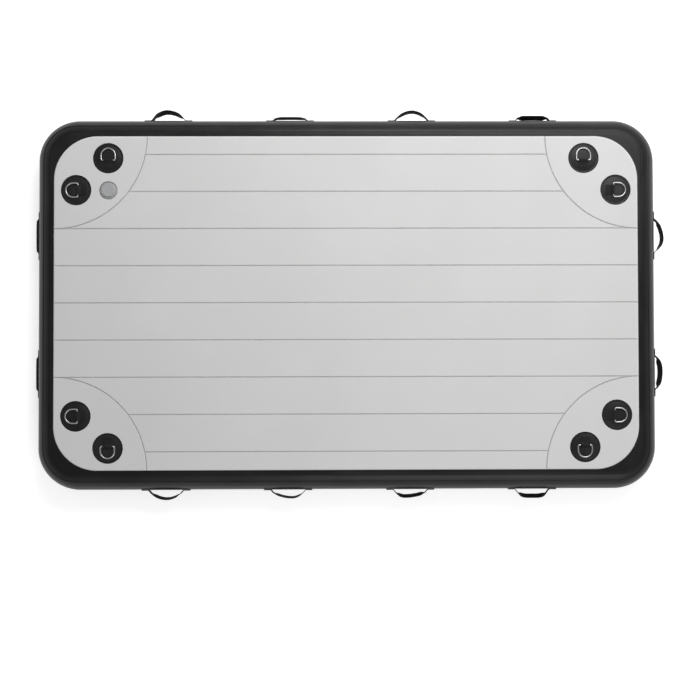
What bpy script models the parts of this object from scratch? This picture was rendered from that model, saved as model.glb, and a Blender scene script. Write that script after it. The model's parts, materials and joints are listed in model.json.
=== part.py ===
import math

import bmesh
import bpy
from mathutils import Matrix, Vector

# Inflatable drop-stitch swim platform with a foam deck.
# The origin is on the ground under the middle of the air chamber. +X runs along the long side, +Y
# towards the side that the valve is nearest to, and +Z is up. Lengths are in metres.

# Gap between pieces that are glued, welded or pressed together
seat_gap = 0.0003

# Air chamber: overall size over the side wall, and its layers
chamber_length = 2.500
chamber_width = 1.500
chamber_height = 0.150
chamber_corner_radius = 0.170
skin_thickness = 0.0012
wall_thickness = 0.0016
tape_thickness = 0.0009

# The side wall's section is a half circle of flat facets. Every layer keeps the same facets, counted
# from the middle of the wall, so that the layers nest without touching.
facets_per_quarter = 8
skin_rim_facet_count = 2
tape_inner_facet_count = 3
wall_edge_facet_count = 5
tape_outer_facet_count = 7
patch_edge_facet_count = 2
corner_steps = 6
tape_step_length = 0.0020

# Drop-stitch yarns inside the chamber
yarn_radius = 0.0012
yarn_rows = 9
yarn_side_inset = 0.2300
yarn_row_inset = 0.1100
yarn_spans = 12

# Foam deck, set in from the chamber's outline on all sides
deck_border = 0.0810
deck_thickness = 0.0050
deck_corner_radius = 0.175
deck_bevel = 0.0025
groove_count = 9
groove_width = 0.0050
groove_depth = 0.0022
corner_groove_radius = 0.372
corner_groove_steps = 8
cutout_clearance = 0.0022
cutout_steps = 20
cut_overrun = 0.0100
# Each corner's name, its sides and the angle at which its arc starts
deck_corners = (
    ("back_right", 1, 1, 180),
    ("back_left", -1, 1, 270),
    ("front_left", -1, -1, 0),
    ("front_right", 1, -1, 90),
)

# D-rings, two in each corner of the deck. Each patch is near to one edge of the deck and far from the
# other.
ring_wire_radius = 0.0030
ring_half_width = 0.0280
ring_straight = 0.0200
ring_bend_radius = 0.0060
ring_bend_steps = 2
ring_arc_steps = 8
ring_clearance = 0.0004
ring_patch_radius = 0.0590
ring_patch_thickness = 0.0012
ring_bar_setback = 0.0080
tab_webbing = 0.0015
tab_width = 0.0380
tab_length = 0.0310
tab_steps = 8
weld_depth = 0.0005
ring_near_inset = 0.0890
ring_far_inset = 0.2170

# Webbing handles on the side wall
webbing_width = 0.0250
webbing_thickness = 0.0025
handle_patch_length = 0.1950
handle_patch_thickness = 0.0012
handle_patch_corner = 0.0140
handle_span = 0.1440
loop_span = 0.1200
loop_axis_height = 0.0124
loop_rise = 0.0340
loop_sink_share = 0.35
loop_steps = 12
foot_steps = 3
long_handle_pitch = 0.4950
short_handle_pitch = 0.5600
back_handle_shift = 0.0150
front_handle_shift = 0.0060

# Each handle's own form: its hinge line's height as a share of loop_axis_height, how far it bows out as a
# share of loop_rise, where its crown lies towards +X or +Y as a share of half the loop's span, the crown's
# power, 2 for an arch and 4 for a flat top, and the degrees that its own weight has sunk it by. The handles
# run from -X to +X on the long sides and from +Y to -Y on the short ones.
back_loop_shares = (
    (1, 1.02, -0.18, 2, 28),
    (0.8, 0.09, -0.1, 4, 8),
    (1, 0.86, 0.06, 2, 13),
    (1, 0.07, 0, 4, 30),
)
front_loop_shares = (
    (1, 0.74, 0, 2, 20),
    (1, 0.59, 0.25, 2, 15),
    (1, 0.55, -0.36, 2, 30),
    (1, 0.65, 0.1, 4, 38),
)
left_loop_shares = ((0.68, 0.03, 0, 4, 0), (0.62, 0.02, 0, 4, 0))
right_loop_shares = ((1, 0.81, -0.16, 2, 22), (1, 0.60, 0.1, 2, 40))

# Inflation valve, a push valve under a bayonet cap, in from two edges of the deck. Heights are from the
# top skin's outer face.
valve_inset = 0.2180
valve_steps = 20
flange_radius = 0.0340
flange_thickness = 0.0036
flange_edge = 0.0010
gasket_thickness = 0.0010
barrel_radius = 0.0200
barrel_depth = 0.0380
bore_radius = 0.0145
seat_radius = 0.0120
seat_height = 0.0020
skin_hole_clearance = 0.0005
nut_radius = 0.0320
nut_hub_radius = 0.0270
nut_rim_thickness = 0.0026
nut_height = 0.0080
web_depth = 0.0290
web_thickness = 0.0030
port_count = 6
port_radius = 0.0030
port_circle_radius = 0.0090
port_steps = 8
stem_radius = 0.0030
stem_clearance = 0.0005
button_radius = 0.0080
button_thickness = 0.0020
button_depth = 0.0020
collar_radius = 0.0075
collar_depth = 0.0086
collar_thickness = 0.0037
key_thickness = 0.0016
key_width = 0.0040
key_reach = 0.0125
ledge_thickness = 0.0020
ledge_reach = 0.0040
ledge_width = 0.0080
poppet_radius = 0.0160
poppet_thickness = 0.0030
seal_inner_radius = 0.0100
seal_outer_radius = 0.0155
seal_thickness = 0.0020
spring_radius = 0.0056
spring_wire_radius = 0.0006
spring_turns = 4
spring_points_per_turn = 8
cap_radius = 0.0270
cap_thickness = 0.0060
cap_edge = 0.0015
cap_skirt_depth = 0.0090
cap_skirt_thickness = 0.0022
cap_skirt_clearance = 0.0004
cap_groove_height = 0.0024
cap_groove_depth = 0.0012
cap_seal_wall = 0.0006
cap_grip_count = 8
cap_grip_radius = 0.0045
cap_grip_bite = 0.0018

# Values worked out from the driving dimensions
mid_height = chamber_height / 2
skin_outer = chamber_height / 2
wall_inner = skin_outer + seat_gap
wall_outer = wall_inner + wall_thickness
core_half_x = chamber_length / 2 - wall_outer
core_half_y = chamber_width / 2 - wall_outer
core_corner = chamber_corner_radius - wall_outer
facet_angle = math.radians(90 / facets_per_quarter)
yarn_row_length = chamber_length - 2 * yarn_row_inset
yarn_row_pitch = (chamber_width - 2 * yarn_side_inset) / (yarn_rows - 1)
deck_length = chamber_length - 2 * deck_border
deck_width = chamber_width - 2 * deck_border
deck_base = chamber_height + seat_gap
deck_top = deck_base + deck_thickness
groove_pitch = deck_width / groove_count
ring_patch_base = chamber_height + seat_gap
ring_patch_top = ring_patch_base + ring_patch_thickness
tab_outer = ring_wire_radius + ring_clearance + tab_webbing
ring_axis_height = ring_patch_top - weld_depth + tab_outer
ring_reach = ring_straight + ring_half_width
ring_drop = ring_axis_height - ring_wire_radius - seat_gap - ring_patch_top
ring_tilt = math.asin(ring_drop / ring_reach)
patch_inner = wall_outer + seat_gap
patch_outer = patch_inner + handle_patch_thickness
patch_face = patch_outer - wall_outer
foot_height = patch_face - weld_depth + webbing_thickness / 2
valve_place = (valve_inset - deck_length / 2, deck_width / 2 - valve_inset)
gasket_base = seat_gap
flange_base = gasket_base + gasket_thickness + seat_gap
flange_top = flange_base + flange_thickness
poppet_top = -barrel_depth - seat_gap - seal_thickness - seat_gap
collar_base = -collar_depth - collar_thickness
ledge_top = -collar_depth - key_thickness - seat_gap
spring_base = -web_depth + seat_gap + spring_wire_radius
spring_top = collar_base - seat_gap - spring_wire_radius
cap_base = flange_top + seat_gap

# A clean scene, with the parts in one collection and the cutters in another
for old in list(bpy.data.objects):
    bpy.data.objects.remove(old, do_unlink=True)


def new_collection(name):
    made = bpy.data.collections.new(name)
    bpy.context.scene.collection.children.link(made)
    return made


parts = new_collection("inflatable_floating_island")
cutters = new_collection("cutters")


def finish(name, colour, roughness, metallic):
    made = bpy.data.materials.new(name)
    made.use_nodes = True
    shader = made.node_tree.nodes["Principled BSDF"]
    shader.inputs["Base Color"].default_value = (*colour, 1.0)
    shader.inputs["Roughness"].default_value = roughness
    shader.inputs["Metallic"].default_value = metallic
    made.diffuse_color = (*colour, 1.0)
    return made


charcoal_pvc = finish("charcoal_pvc", (0.030, 0.031, 0.034), 0.50, 0.0)
black_pvc = finish("black_pvc", (0.016, 0.016, 0.018), 0.55, 0.0)
pale_foam = finish("pale_foam", (0.560, 0.565, 0.570), 0.85, 0.0)
black_webbing = finish("black_webbing", (0.012, 0.012, 0.013), 0.80, 0.0)
stainless = finish("stainless", (0.620, 0.620, 0.610), 0.25, 1.0)
grey_plastic = finish("grey_plastic", (0.330, 0.335, 0.340), 0.45, 0.0)
black_rubber = finish("black_rubber", (0.020, 0.020, 0.020), 0.70, 0.0)
white_yarn = finish("white_yarn", (0.750, 0.750, 0.720), 0.90, 0.0)


def place(name, data, material=None, at=(0, 0, 0), turn=(0, 0, 0), among=None):
    made = bpy.data.objects.new(name, data)
    made.location = at
    made.rotation_euler = turn
    (among or parts).objects.link(made)
    if material and not data.materials:
        data.materials.append(material)
    return made


def as_cutter(obj):
    obj.hide_render = True
    obj.display_type = "WIRE"
    return obj


def poly_curve(name, outlines, cyclic, flat):
    """A curve of straight runs through each list of points."""
    curve = bpy.data.curves.new(name, "CURVE")
    curve.dimensions = "2D" if flat else "3D"
    curve.fill_mode = "NONE" if flat else "FULL"
    for points in outlines:
        spline = curve.splines.new("POLY")
        spline.points.add(len(points) - 1)
        for target, point in zip(spline.points, points):
            target.co = (*Vector(point).to_3d(), 1.0)
        spline.use_cyclic_u = cyclic
    return curve


def mesh_of(curve):
    """The mesh that a curve makes, with its caps welded on, and the curve removed."""
    mesh = evaluated_mesh(place("guide", curve, among=cutters))
    shape = bmesh.new()
    shape.from_mesh(mesh)
    bmesh.ops.remove_doubles(shape, verts=shape.verts, dist=seat_gap / 100)
    shape.to_mesh(mesh)
    shape.free()
    return mesh


def swept_surface(path_points, section_points):
    """An open surface: a section, given as (outward, up), carried round a closed path."""
    section = poly_curve("section", [[(-out, up) for out, up in section_points]], False, True)
    section_guide = place("section_guide", section, among=cutters)
    path = poly_curve("path", [path_points], True, True)
    path.bevel_mode = "OBJECT"
    path.bevel_object = section_guide
    mesh = mesh_of(path)
    bpy.data.objects.remove(section_guide, do_unlink=True)
    return mesh


def extruded(outlines, thickness):
    """A flat plate about z = 0, from closed outlines of which the inner ones are holes."""
    curve = poly_curve("outline", outlines, True, True)
    curve.fill_mode = "BOTH"
    curve.extrude = thickness / 2
    return mesh_of(curve)


def arc(centre, radius, start, end, steps):
    """Points along an arc, with the angles in degrees."""
    points = []
    for index in range(steps + 1):
        angle = math.radians(start + (end - start) * index / steps)
        points.append((centre[0] + radius * math.cos(angle), centre[1] + radius * math.sin(angle)))
    return points


def rounded_rectangle(half_x, half_y, radius, steps):
    points = []
    for start, side_x, side_y in ((0, 1, 1), (90, -1, 1), (180, -1, -1), (270, 1, -1)):
        centre = (side_x * (half_x - radius), side_y * (half_y - radius))
        points += arc(centre, radius, start, start + 90, steps)
    return points


def thicken(obj, thickness, offset):
    """Gives an open surface its wall: offset -1 grows it inward, 1 outward and 0 both ways."""
    wall = obj.modifiers.new("wall", "SOLIDIFY")
    wall.thickness = thickness
    wall.offset = offset
    wall.use_even_offset = True


def cut(obj, cutter, operation="DIFFERENCE"):
    step = obj.modifiers.new(operation.lower(), "BOOLEAN")
    step.operation = operation
    step.solver = "EXACT"
    step.object = cutter


def evaluated_mesh(obj):
    """The mesh that an object makes with its modifiers, and the object removed."""
    graph = bpy.context.evaluated_depsgraph_get()
    mesh = bpy.data.meshes.new_from_object(obj.evaluated_get(graph))
    bpy.data.objects.remove(obj, do_unlink=True)
    return mesh


def union_of(first, second):
    """One mesh from two closed ones that overlap."""
    base = place("base", first, among=cutters)
    other = place("other", second, among=cutters)
    cut(base, other, "UNION")
    mesh = evaluated_mesh(base)
    bpy.data.objects.remove(other, do_unlink=True)
    return mesh


def facing_out(mesh):
    shape = bmesh.new()
    shape.from_mesh(mesh)
    bmesh.ops.recalc_face_normals(shape, faces=shape.faces)
    shape.to_mesh(mesh)
    shape.free()
    return mesh


def plain_faces(mesh):
    """Joins the triangles of each flat face into one face."""
    shape = bmesh.new()
    shape.from_mesh(mesh)
    bmesh.ops.dissolve_limit(
        shape, angle_limit=math.radians(1), verts=shape.verts, edges=shape.edges, delimit={"NORMAL"}
    )
    shape.to_mesh(mesh)
    shape.free()
    return mesh


def round_off(obj):
    obj.data.shade_smooth()
    obj.data.set_sharp_from_angle(angle=math.radians(35))


def section_arc(radius, first_facet, last_facet):
    """The side wall's section at one radius, between two facet counts, as (outward, height)."""
    points = []
    for facet in range(first_facet, last_facet + 1):
        angle = facet * facet_angle
        points.append((radius * math.cos(angle), radius * math.sin(angle)))
    return points


def wall_path():
    """The middle line of the side wall's half circle, seen from above."""
    return rounded_rectangle(core_half_x, core_half_y, core_corner, corner_steps)


def make_skin(name, side):
    """One skin of the chamber: the flat panel, and its rim that laps in under the side wall."""
    section = section_arc(skin_outer, skin_rim_facet_count, facets_per_quarter)
    section = [(out, side * up) for out, up in section]
    mesh = swept_surface(wall_path(), section)
    shape = bmesh.new()
    shape.from_mesh(mesh)
    flat_edge = [
        edge for edge in shape.edges
        if edge.is_boundary and all(abs(vert.co.z) > skin_outer - seat_gap for vert in edge.verts)
    ]
    bmesh.ops.edgeloop_fill(shape, edges=flat_edge)
    shape.to_mesh(mesh)
    shape.free()
    skin = place(name, facing_out(mesh), charcoal_pvc, (0, 0, mid_height))
    thicken(skin, skin_thickness, -1)
    return skin


def make_chamber():
    top = make_skin("top_skin", 1)
    make_skin("bottom_skin", -1)
    hole_radius = barrel_radius + skin_hole_clearance
    hole = cylinder("skin_hole", hole_radius, cut_overrun, valve_steps, (*valve_place, chamber_height))
    cut(top, hole)

    section = section_arc(wall_outer, -wall_edge_facet_count, wall_edge_facet_count)
    band = facing_out(swept_surface(wall_path(), section))
    wall = place("side_wall", band, charcoal_pvc, (0, 0, mid_height))
    thicken(wall, wall_thickness, -1)

    for name, side in (("seam_tape_upper", 1), ("seam_tape_lower", -1)):
        section = tape_section()
        section = [(out, side * up) for out, up in section]
        tape = place(name, facing_out(swept_surface(wall_path(), section)), black_pvc, (0, 0, mid_height))
        thicken(tape, tape_thickness, 1)


def tape_section():
    """The tape's inner face: over the side wall's edge, then down the step onto the skin."""
    on_wall = wall_outer + seat_gap
    on_skin = skin_outer + seat_gap
    edge_angle = wall_edge_facet_count * facet_angle
    points = section_arc(on_wall, tape_inner_facet_count, wall_edge_facet_count - 1)
    for radius, past in ((on_wall, tape_step_length / 2), (on_skin, 2 * tape_step_length)):
        angle = edge_angle + past / skin_outer
        points.append((radius * math.cos(angle), radius * math.sin(angle)))
    return points + section_arc(on_skin, wall_edge_facet_count + 1, tape_outer_facet_count)


def make_yarns():
    """The yarn that zigzags between the two skins, row after row, and holds them parallel."""
    reach = skin_outer - skin_thickness - seat_gap - yarn_radius
    points = []
    for row in range(yarn_rows):
        across = (row - (yarn_rows - 1) / 2) * yarn_row_pitch
        way = -1 if row % 2 else 1
        for turn in range(yarn_spans + 1):
            along = way * (turn / yarn_spans - 1 / 2) * yarn_row_length
            points.append((along, across, reach if turn % 2 else -reach))
    curve = poly_curve("yarns", [points], False, False)
    curve.bevel_depth = yarn_radius
    curve.bevel_resolution = 0
    curve.use_fill_caps = True
    place("drop_stitch_yarns", curve, white_yarn, (0, 0, mid_height))


def cylinder(name, radius, height, steps, at):
    """A cutter: a cylinder centred on a point."""
    mesh = bpy.data.meshes.new(name)
    shape = bmesh.new()
    bmesh.ops.create_cone(
        shape, cap_ends=True, segments=steps, radius1=radius, radius2=radius, depth=height,
        matrix=Matrix.Translation(at),
    )
    shape.to_mesh(mesh)
    shape.free()
    return as_cutter(place(name, mesh, among=cutters))


def box(shape, size, at):
    """Adds a box to a mesh under construction."""
    matrix = Matrix.Translation(at) @ Matrix.Diagonal((*size, 1.0))
    bmesh.ops.create_cube(shape, size=1.0, matrix=matrix)


def ring_places():
    """Each D-ring's name, place on the deck and the way it points, in degrees from +X."""
    near_x = deck_length / 2 - ring_near_inset
    near_y = deck_width / 2 - ring_near_inset
    far_x = deck_length / 2 - ring_far_inset
    far_y = deck_width / 2 - ring_far_inset
    found = []
    for end, side_x in (("left", -1), ("right", 1)):
        for edge, side_y in (("back", 1), ("front", -1)):
            corner = f"{edge}_{end}"
            found.append((corner, "long", (side_x * far_x, side_y * near_y), 90 * side_y))
            found.append((corner, "short", (side_x * near_x, side_y * far_y), 0 if side_x > 0 else 180))
    return found


def deck_sheet(name):
    """A sheet with the whole deck's outline, bevelled along its upper edge."""
    outline = rounded_rectangle(deck_length / 2, deck_width / 2, deck_corner_radius, corner_steps)
    mesh = plain_faces(extruded([outline], deck_thickness))
    weight = mesh.attributes.new("bevel_weight_edge", "FLOAT", "EDGE")
    for edge in mesh.edges:
        ends = [mesh.vertices[index].co.z for index in edge.vertices]
        weight.data[edge.index].value = 1.0 if min(ends) > 0 else 0.0
    sheet = place(name, mesh, pale_foam, (0, 0, deck_base + deck_thickness / 2))
    rim = sheet.modifiers.new("rim", "BEVEL")
    rim.limit_method = "WEIGHT"
    rim.width = deck_bevel
    rim.segments = 1
    return sheet


def make_deck():
    """One pad over the middle and one in each corner. They meet in the floor of the corner grooves."""
    cutouts = make_cutouts()
    corner_grooves = make_corner_grooves()
    corners = [corner for corner, _, _, _ in deck_corners]
    middle = deck_sheet("deck_pad")
    cut(middle, make_corner_blocks("deck_without_corners", seat_gap / 2, corners))
    cut(middle, make_straight_grooves())
    cut(middle, corner_grooves)
    for corner in corners:
        pad = deck_sheet(f"deck_corner_{corner}")
        cut(pad, make_corner_blocks(f"deck_{corner}_only", -seat_gap / 2, [corner]), "INTERSECT")
        cut(pad, cutouts)
        cut(pad, corner_grooves)


def make_cutouts():
    """Round holes through the foam for the patches and the valve."""
    holes = [(at, ring_patch_radius) for _, _, at, _ in ring_places()]
    holes.append((valve_place, flange_radius))
    mesh = bpy.data.meshes.new("deck_cutouts")
    shape = bmesh.new()
    for at, radius in holes:
        bmesh.ops.create_cone(
            shape, cap_ends=True, segments=cutout_steps, radius1=radius + cutout_clearance,
            radius2=radius + cutout_clearance, depth=deck_thickness + cut_overrun,
            matrix=Matrix.Translation((*at, deck_base)),
        )
    shape.to_mesh(mesh)
    shape.free()
    return as_cutter(place("deck_cutouts", mesh, among=cutters))


def make_straight_grooves():
    """One groove for each strip of the deck. Those near a corner stop at its quarter-circle groove."""
    mesh = bpy.data.meshes.new("straight_grooves")
    shape = bmesh.new()
    for index in range(groove_count):
        across = (index - (groove_count - 1) / 2) * groove_pitch
        from_edge = deck_width / 2 - abs(across)
        half_length = deck_length / 2 + cut_overrun
        if from_edge < corner_groove_radius:
            half_length = deck_length / 2 - math.sqrt(corner_groove_radius**2 - from_edge**2)
        size = (2 * half_length, groove_width, 2 * groove_depth)
        box(shape, size, (0, across, deck_top))
    shape.to_mesh(mesh)
    shape.free()
    return as_cutter(place("straight_grooves", mesh, among=cutters))


def corner_arc(side_x, side_y, start, offset):
    """A quarter circle about a corner of the deck's outline, offset from the groove's middle line."""
    centre = (side_x * deck_length / 2, side_y * deck_width / 2)
    past_edge = math.degrees(cut_overrun / corner_groove_radius)
    radius = corner_groove_radius + offset
    return arc(centre, radius, start - past_edge, start + 90 + past_edge, corner_groove_steps)


def make_corner_grooves():
    """A quarter-circle groove about each corner of the deck's outline."""
    outlines = []
    for _, side_x, side_y, start in deck_corners:
        inner = corner_arc(side_x, side_y, start, -groove_width / 2)
        outer = corner_arc(side_x, side_y, start, groove_width / 2)
        outlines.append(inner + outer[::-1])
    mesh = facing_out(extruded(outlines, 2 * groove_depth))
    return as_cutter(place("corner_grooves", mesh, None, (0, 0, deck_top), among=cutters))


def make_corner_blocks(name, offset, corners):
    """Blocks over the named corners of the deck, each bounded by an arc along its groove."""
    outlines = []
    for corner, side_x, side_y, start in deck_corners:
        if corner in corners:
            beyond = (side_x * (deck_length / 2 + cut_overrun), side_y * (deck_width / 2 + cut_overrun))
            outlines.append(corner_arc(side_x, side_y, start, offset) + [beyond])
    mesh = facing_out(extruded(outlines, deck_thickness + cut_overrun))
    at = (0, 0, deck_base + deck_thickness / 2)
    return as_cutter(place(name, mesh, None, at, among=cutters))


def ring_outline():
    """The D, with its straight bar along X through the origin and its round side towards +Y."""
    bend = ring_bend_radius
    points = arc((-ring_half_width + bend, bend), bend, 180, 270, ring_bend_steps)
    points += arc((ring_half_width - bend, bend), bend, 270, 360, ring_bend_steps)
    points += arc((0, ring_straight), ring_half_width, 0, 180, ring_arc_steps)
    return points


def tab_outline():
    """The webbing tab's side view: wrapped round the ring's bar, with its two layers as a tail."""
    tail_top = -tab_outer + 2 * tab_webbing
    meet = 180 - math.degrees(math.asin(tail_top / tab_outer))
    points = [(-tab_length, -tab_outer)]
    points += arc((0, 0), tab_outer, -90, meet, tab_steps)
    points.append((-tab_length, tail_top))
    bore = arc((0, 0), ring_wire_radius + ring_clearance, 0, 360, tab_steps)
    return [points, bore[:-1]]


def ring_patch_mesh():
    """A round patch with the webbing tab welded into it. The tab's tail runs towards -Y."""
    mesh = bpy.data.meshes.new("disc")
    shape = bmesh.new()
    bmesh.ops.create_cone(
        shape, cap_ends=True, segments=cutout_steps, radius1=ring_patch_radius, radius2=ring_patch_radius,
        depth=ring_patch_thickness, matrix=Matrix.Translation((0, 0, ring_patch_thickness / 2)),
    )
    shape.to_mesh(mesh)
    shape.free()
    tab = facing_out(extruded(tab_outline(), tab_width))
    # The tab's side view, drawn in X and Y, stands up: its X becomes Y, and its Y becomes Z
    stand_up = Matrix(((0, 0, 1, 0), (1, 0, 0, 0), (0, 1, 0, 0), (0, 0, 0, 1)))
    bar = Matrix.Translation((0, -ring_bar_setback, ring_axis_height - ring_patch_base))
    tab.transform(bar @ stand_up)
    return union_of(mesh, tab)


def make_rings():
    """The D-rings, and the round patches that carry them."""
    ring_curve = poly_curve("d_ring", [ring_outline()], True, False)
    ring_curve.bevel_depth = ring_wire_radius
    ring_curve.bevel_resolution = 1
    patch = ring_patch_mesh()
    for corner, which, at, way in ring_places():
        turn = math.radians(way - 90)
        inward = Matrix.Rotation(turn, 4, "Z") @ Vector((0, -ring_bar_setback, 0))
        bar_at = (at[0] + inward.x, at[1] + inward.y, ring_axis_height)
        place(f"d_ring_{corner}_{which}", ring_curve, stainless, bar_at, (-ring_tilt, 0, turn))
        place(f"d_ring_patch_{corner}_{which}", patch, black_pvc, (*at, ring_patch_base), (0, 0, turn))


def joined(meshes):
    """One mesh that holds several, as separate bodies."""
    shape = bmesh.new()
    for mesh in meshes:
        shape.from_mesh(mesh)
    made = bpy.data.meshes.new(meshes[0].name)
    shape.to_mesh(made)
    shape.free()
    return made


def handle_patch_mesh():
    """A flat patch with rounded corners, bent along the side wall's facets. X runs along the wall,
    Y outward and Z up, from the wall's outer face at mid height."""
    facet_run = 2 * patch_inner * math.sin(facet_angle / 2)
    half_height = patch_edge_facet_count * facet_run
    outline = rounded_rectangle(handle_patch_length / 2, half_height, handle_patch_corner, 2)
    curve = poly_curve("outline", [outline], True, True)
    curve.fill_mode = "BOTH"
    mesh = mesh_of(curve)
    shape = bmesh.new()
    shape.from_mesh(mesh)
    for facet in range(1 - patch_edge_facet_count, patch_edge_facet_count):
        everything = shape.verts[:] + shape.edges[:] + shape.faces[:]
        fold = (0, facet * facet_run, 0)
        bmesh.ops.bisect_plane(shape, geom=everything, plane_co=fold, plane_no=(0, 1, 0))
    for vert in shape.verts:
        run = vert.co.y / facet_run
        lower = min(max(math.floor(run), -patch_edge_facet_count), patch_edge_facet_count - 1)
        start = section_arc(patch_inner, lower, lower + 1)
        share = run - lower
        out = start[0][0] + (start[1][0] - start[0][0]) * share
        up = start[0][1] + (start[1][1] - start[0][1]) * share
        vert.co = (vert.co.x, out - wall_outer, up)
    bmesh.ops.reverse_faces(shape, faces=shape.faces)
    shape.to_mesh(mesh)
    shape.free()
    return mesh


def loop_height(along, rise, crown, power):
    """How far the webbing's middle stands off the hinge line at one place of the loop."""
    half = loop_span / 2
    peak = crown * half
    reach = half - peak if along > peak else half + peak
    return rise * (1 - (abs(along - peak) / reach)**power)


def sunk_by(along, droop):
    """The angle that the loop has sunk by at one place: none at its ends, all of it over its middle."""
    share = (1 - abs(along) / (loop_span / 2)) / loop_sink_share
    share = min(max(share, 0), 1)
    return math.radians(droop) * share**2 * (3 - 2 * share)


def webbing_route(axis, rise, crown, power, droop):
    """The strap from one end of its patch to the other, as (along, outward, up), and its angles."""
    half = loop_span / 2
    run = (handle_span - loop_span) / 2
    climb = axis - foot_height
    feet = []
    for side in (-1, 1):
        reach = half - side * crown * half
        slope = rise * power / reach
        foot = [(side * handle_patch_length / 2 - side * seat_gap, foot_height, 0)]
        for step in range(foot_steps):
            share = step / foot_steps
            rising = share**2 * (3 - 2 * share) * climb + share**2 * (share - 1) * slope * run
            foot.append((side * (half + run * (1 - share)), foot_height + rising, 0))
        feet.append(foot)
    loop = []
    for step in range(loop_steps + 1):
        along = -half * math.cos(math.pi * step / loop_steps)
        height = loop_height(along, rise, crown, power)
        angle = sunk_by(along, droop)
        loop.append((along, axis + height * math.cos(angle), -height * math.sin(angle)))
    route = feet[0] + loop + feet[1][::-1]
    return route, [sunk_by(point[0], droop) for point in route]


def webbing_tilts(route, angles):
    """The tilt at each point of the route that keeps the webbing's width square to the sunken loop."""
    tilts = []
    for index, angle in enumerate(angles):
        ahead = Vector(route[min(index + 1, len(route) - 1)])
        tangent = (ahead - Vector(route[max(index - 1, 0)])).normalized()
        upright = Vector((0, 0, 1)) - tangent * tangent.z
        sunk = Vector((0, math.sin(angle), math.cos(angle)))
        sunk -= tangent * tangent.dot(sunk)
        tilts.append(math.atan2(upright.cross(sunk).dot(tangent), upright.dot(sunk)))
    return tilts


def strap_mesh(axis, rise, crown, power, droop):
    """The whole strap as one solid band, before it is cut into its feet and its loop."""
    route, angles = webbing_route(axis, rise, crown, power, droop)
    curve = poly_curve("strap", [route], False, False)
    curve.twist_mode = "Z_UP"
    curve.extrude = webbing_width / 2
    for target, tilt in zip(curve.splines[0].points, webbing_tilts(route, angles)):
        target.tilt = tilt
    guide = place("guide", mesh_of(curve), among=cutters)
    thicken(guide, webbing_thickness, 0)
    return facing_out(evaluated_mesh(guide))


def cut_off(mesh, at, side):
    """Keeps what lies beyond a plane across the strap, with the cut closed."""
    shape = bmesh.new()
    shape.from_mesh(mesh)
    everything = shape.verts[:] + shape.edges[:] + shape.faces[:]
    found = bmesh.ops.bisect_plane(
        shape, geom=everything, plane_co=(at, 0, 0), plane_no=(side, 0, 0), clear_inner=True
    )
    edges = [item for item in found["geom_cut"] if isinstance(item, bmesh.types.BMEdge)]
    bmesh.ops.edgeloop_fill(shape, edges=edges)
    bmesh.ops.recalc_face_normals(shape, faces=shape.faces)
    made = bpy.data.meshes.new("strap")
    shape.to_mesh(made)
    shape.free()
    return made


def handle_sides():
    """Each side's name, its handles' places and forms, and the way they point, in degrees from +X."""
    half_x = chamber_length / 2
    half_y = chamber_width / 2
    last_long = len(back_loop_shares) - 1
    last_short = len(left_loop_shares) - 1
    long_places = [(i - last_long / 2) * long_handle_pitch for i in range(last_long + 1)]
    short_places = [(last_short / 2 - i) * short_handle_pitch for i in range(last_short + 1)]
    back = [(along + back_handle_shift, half_y) for along in long_places]
    front = [(along + front_handle_shift, -half_y) for along in long_places]
    left = [(-half_x, along) for along in short_places]
    right = [(half_x, along) for along in short_places]
    return (
        ("back", back, back_loop_shares, 90),
        ("front", front, front_loop_shares, 270),
        ("left", left, left_loop_shares, 180),
        ("right", right, right_loop_shares, 0),
    )


def make_handles():
    """Each handle: a patch on the side wall with two webbing feet, and the loop that swings."""
    flat = place("guide", handle_patch_mesh(), among=cutters)
    thicken(flat, handle_patch_thickness, 1)
    plate = facing_out(evaluated_mesh(flat))
    for side, spots, forms, way in handle_sides():
        turn = math.radians(way - 90)
        for number, (spot, form) in enumerate(zip(spots, forms), 1):
            axis_share, rise_share, crown_share, power, droop = form
            axis = patch_face + axis_share * loop_axis_height
            # A handle's own +X runs along world -X on the front side and along -Y on the right
            crown = crown_share if side in ("back", "left") else -crown_share
            strap = strap_mesh(axis, rise_share * loop_rise, crown, power, droop)
            feet = joined([cut_off(strap, end * loop_span / 2, end) for end in (-1, 1)])
            at = Vector((*spot, mid_height))
            whole = union_of(plate.copy(), feet)
            place(f"handle_patch_{side}_{number}", whole, black_webbing, at, (0, 0, turn))
            loop = cut_off(strap, -loop_span / 2 + seat_gap, 1)
            loop = cut_off(loop, loop_span / 2 - seat_gap, -1)
            loop.transform(Matrix.Translation((0, -axis, 0)))
            outward = Matrix.Rotation(turn, 4, "Z") @ Vector((0, axis, 0))
            place(f"handle_{side}_{number}", loop, black_webbing, at + outward, (0, 0, turn))


def turned(name, profile, material, closed, steps=valve_steps):
    """A piece turned about the valve's axis. The profile runs down its outer side."""
    mesh = bpy.data.meshes.new(name)
    shape = bmesh.new()
    verts = [shape.verts.new((radius, 0, height)) for radius, height in profile]
    for first, second in zip(verts, verts[1:]):
        shape.edges.new((first, second))
    if closed:
        shape.edges.new((verts[-1], verts[0]))
    shape.to_mesh(mesh)
    shape.free()
    made = place(name, mesh, material, (*valve_place, chamber_height))
    turn = made.modifiers.new("turn", "SCREW")
    turn.axis = "Z"
    turn.steps = steps
    turn.render_steps = steps
    turn.use_merge_vertices = True
    turn.merge_threshold = seat_gap / 100
    return made


def ring_profile(inner, outer, base, top):
    return [(inner, top), (outer, top), (outer, base), (inner, base)]


def valve_cutter(name, mesh):
    return as_cutter(place(name, mesh, None, (*valve_place, chamber_height), among=cutters))


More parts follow.
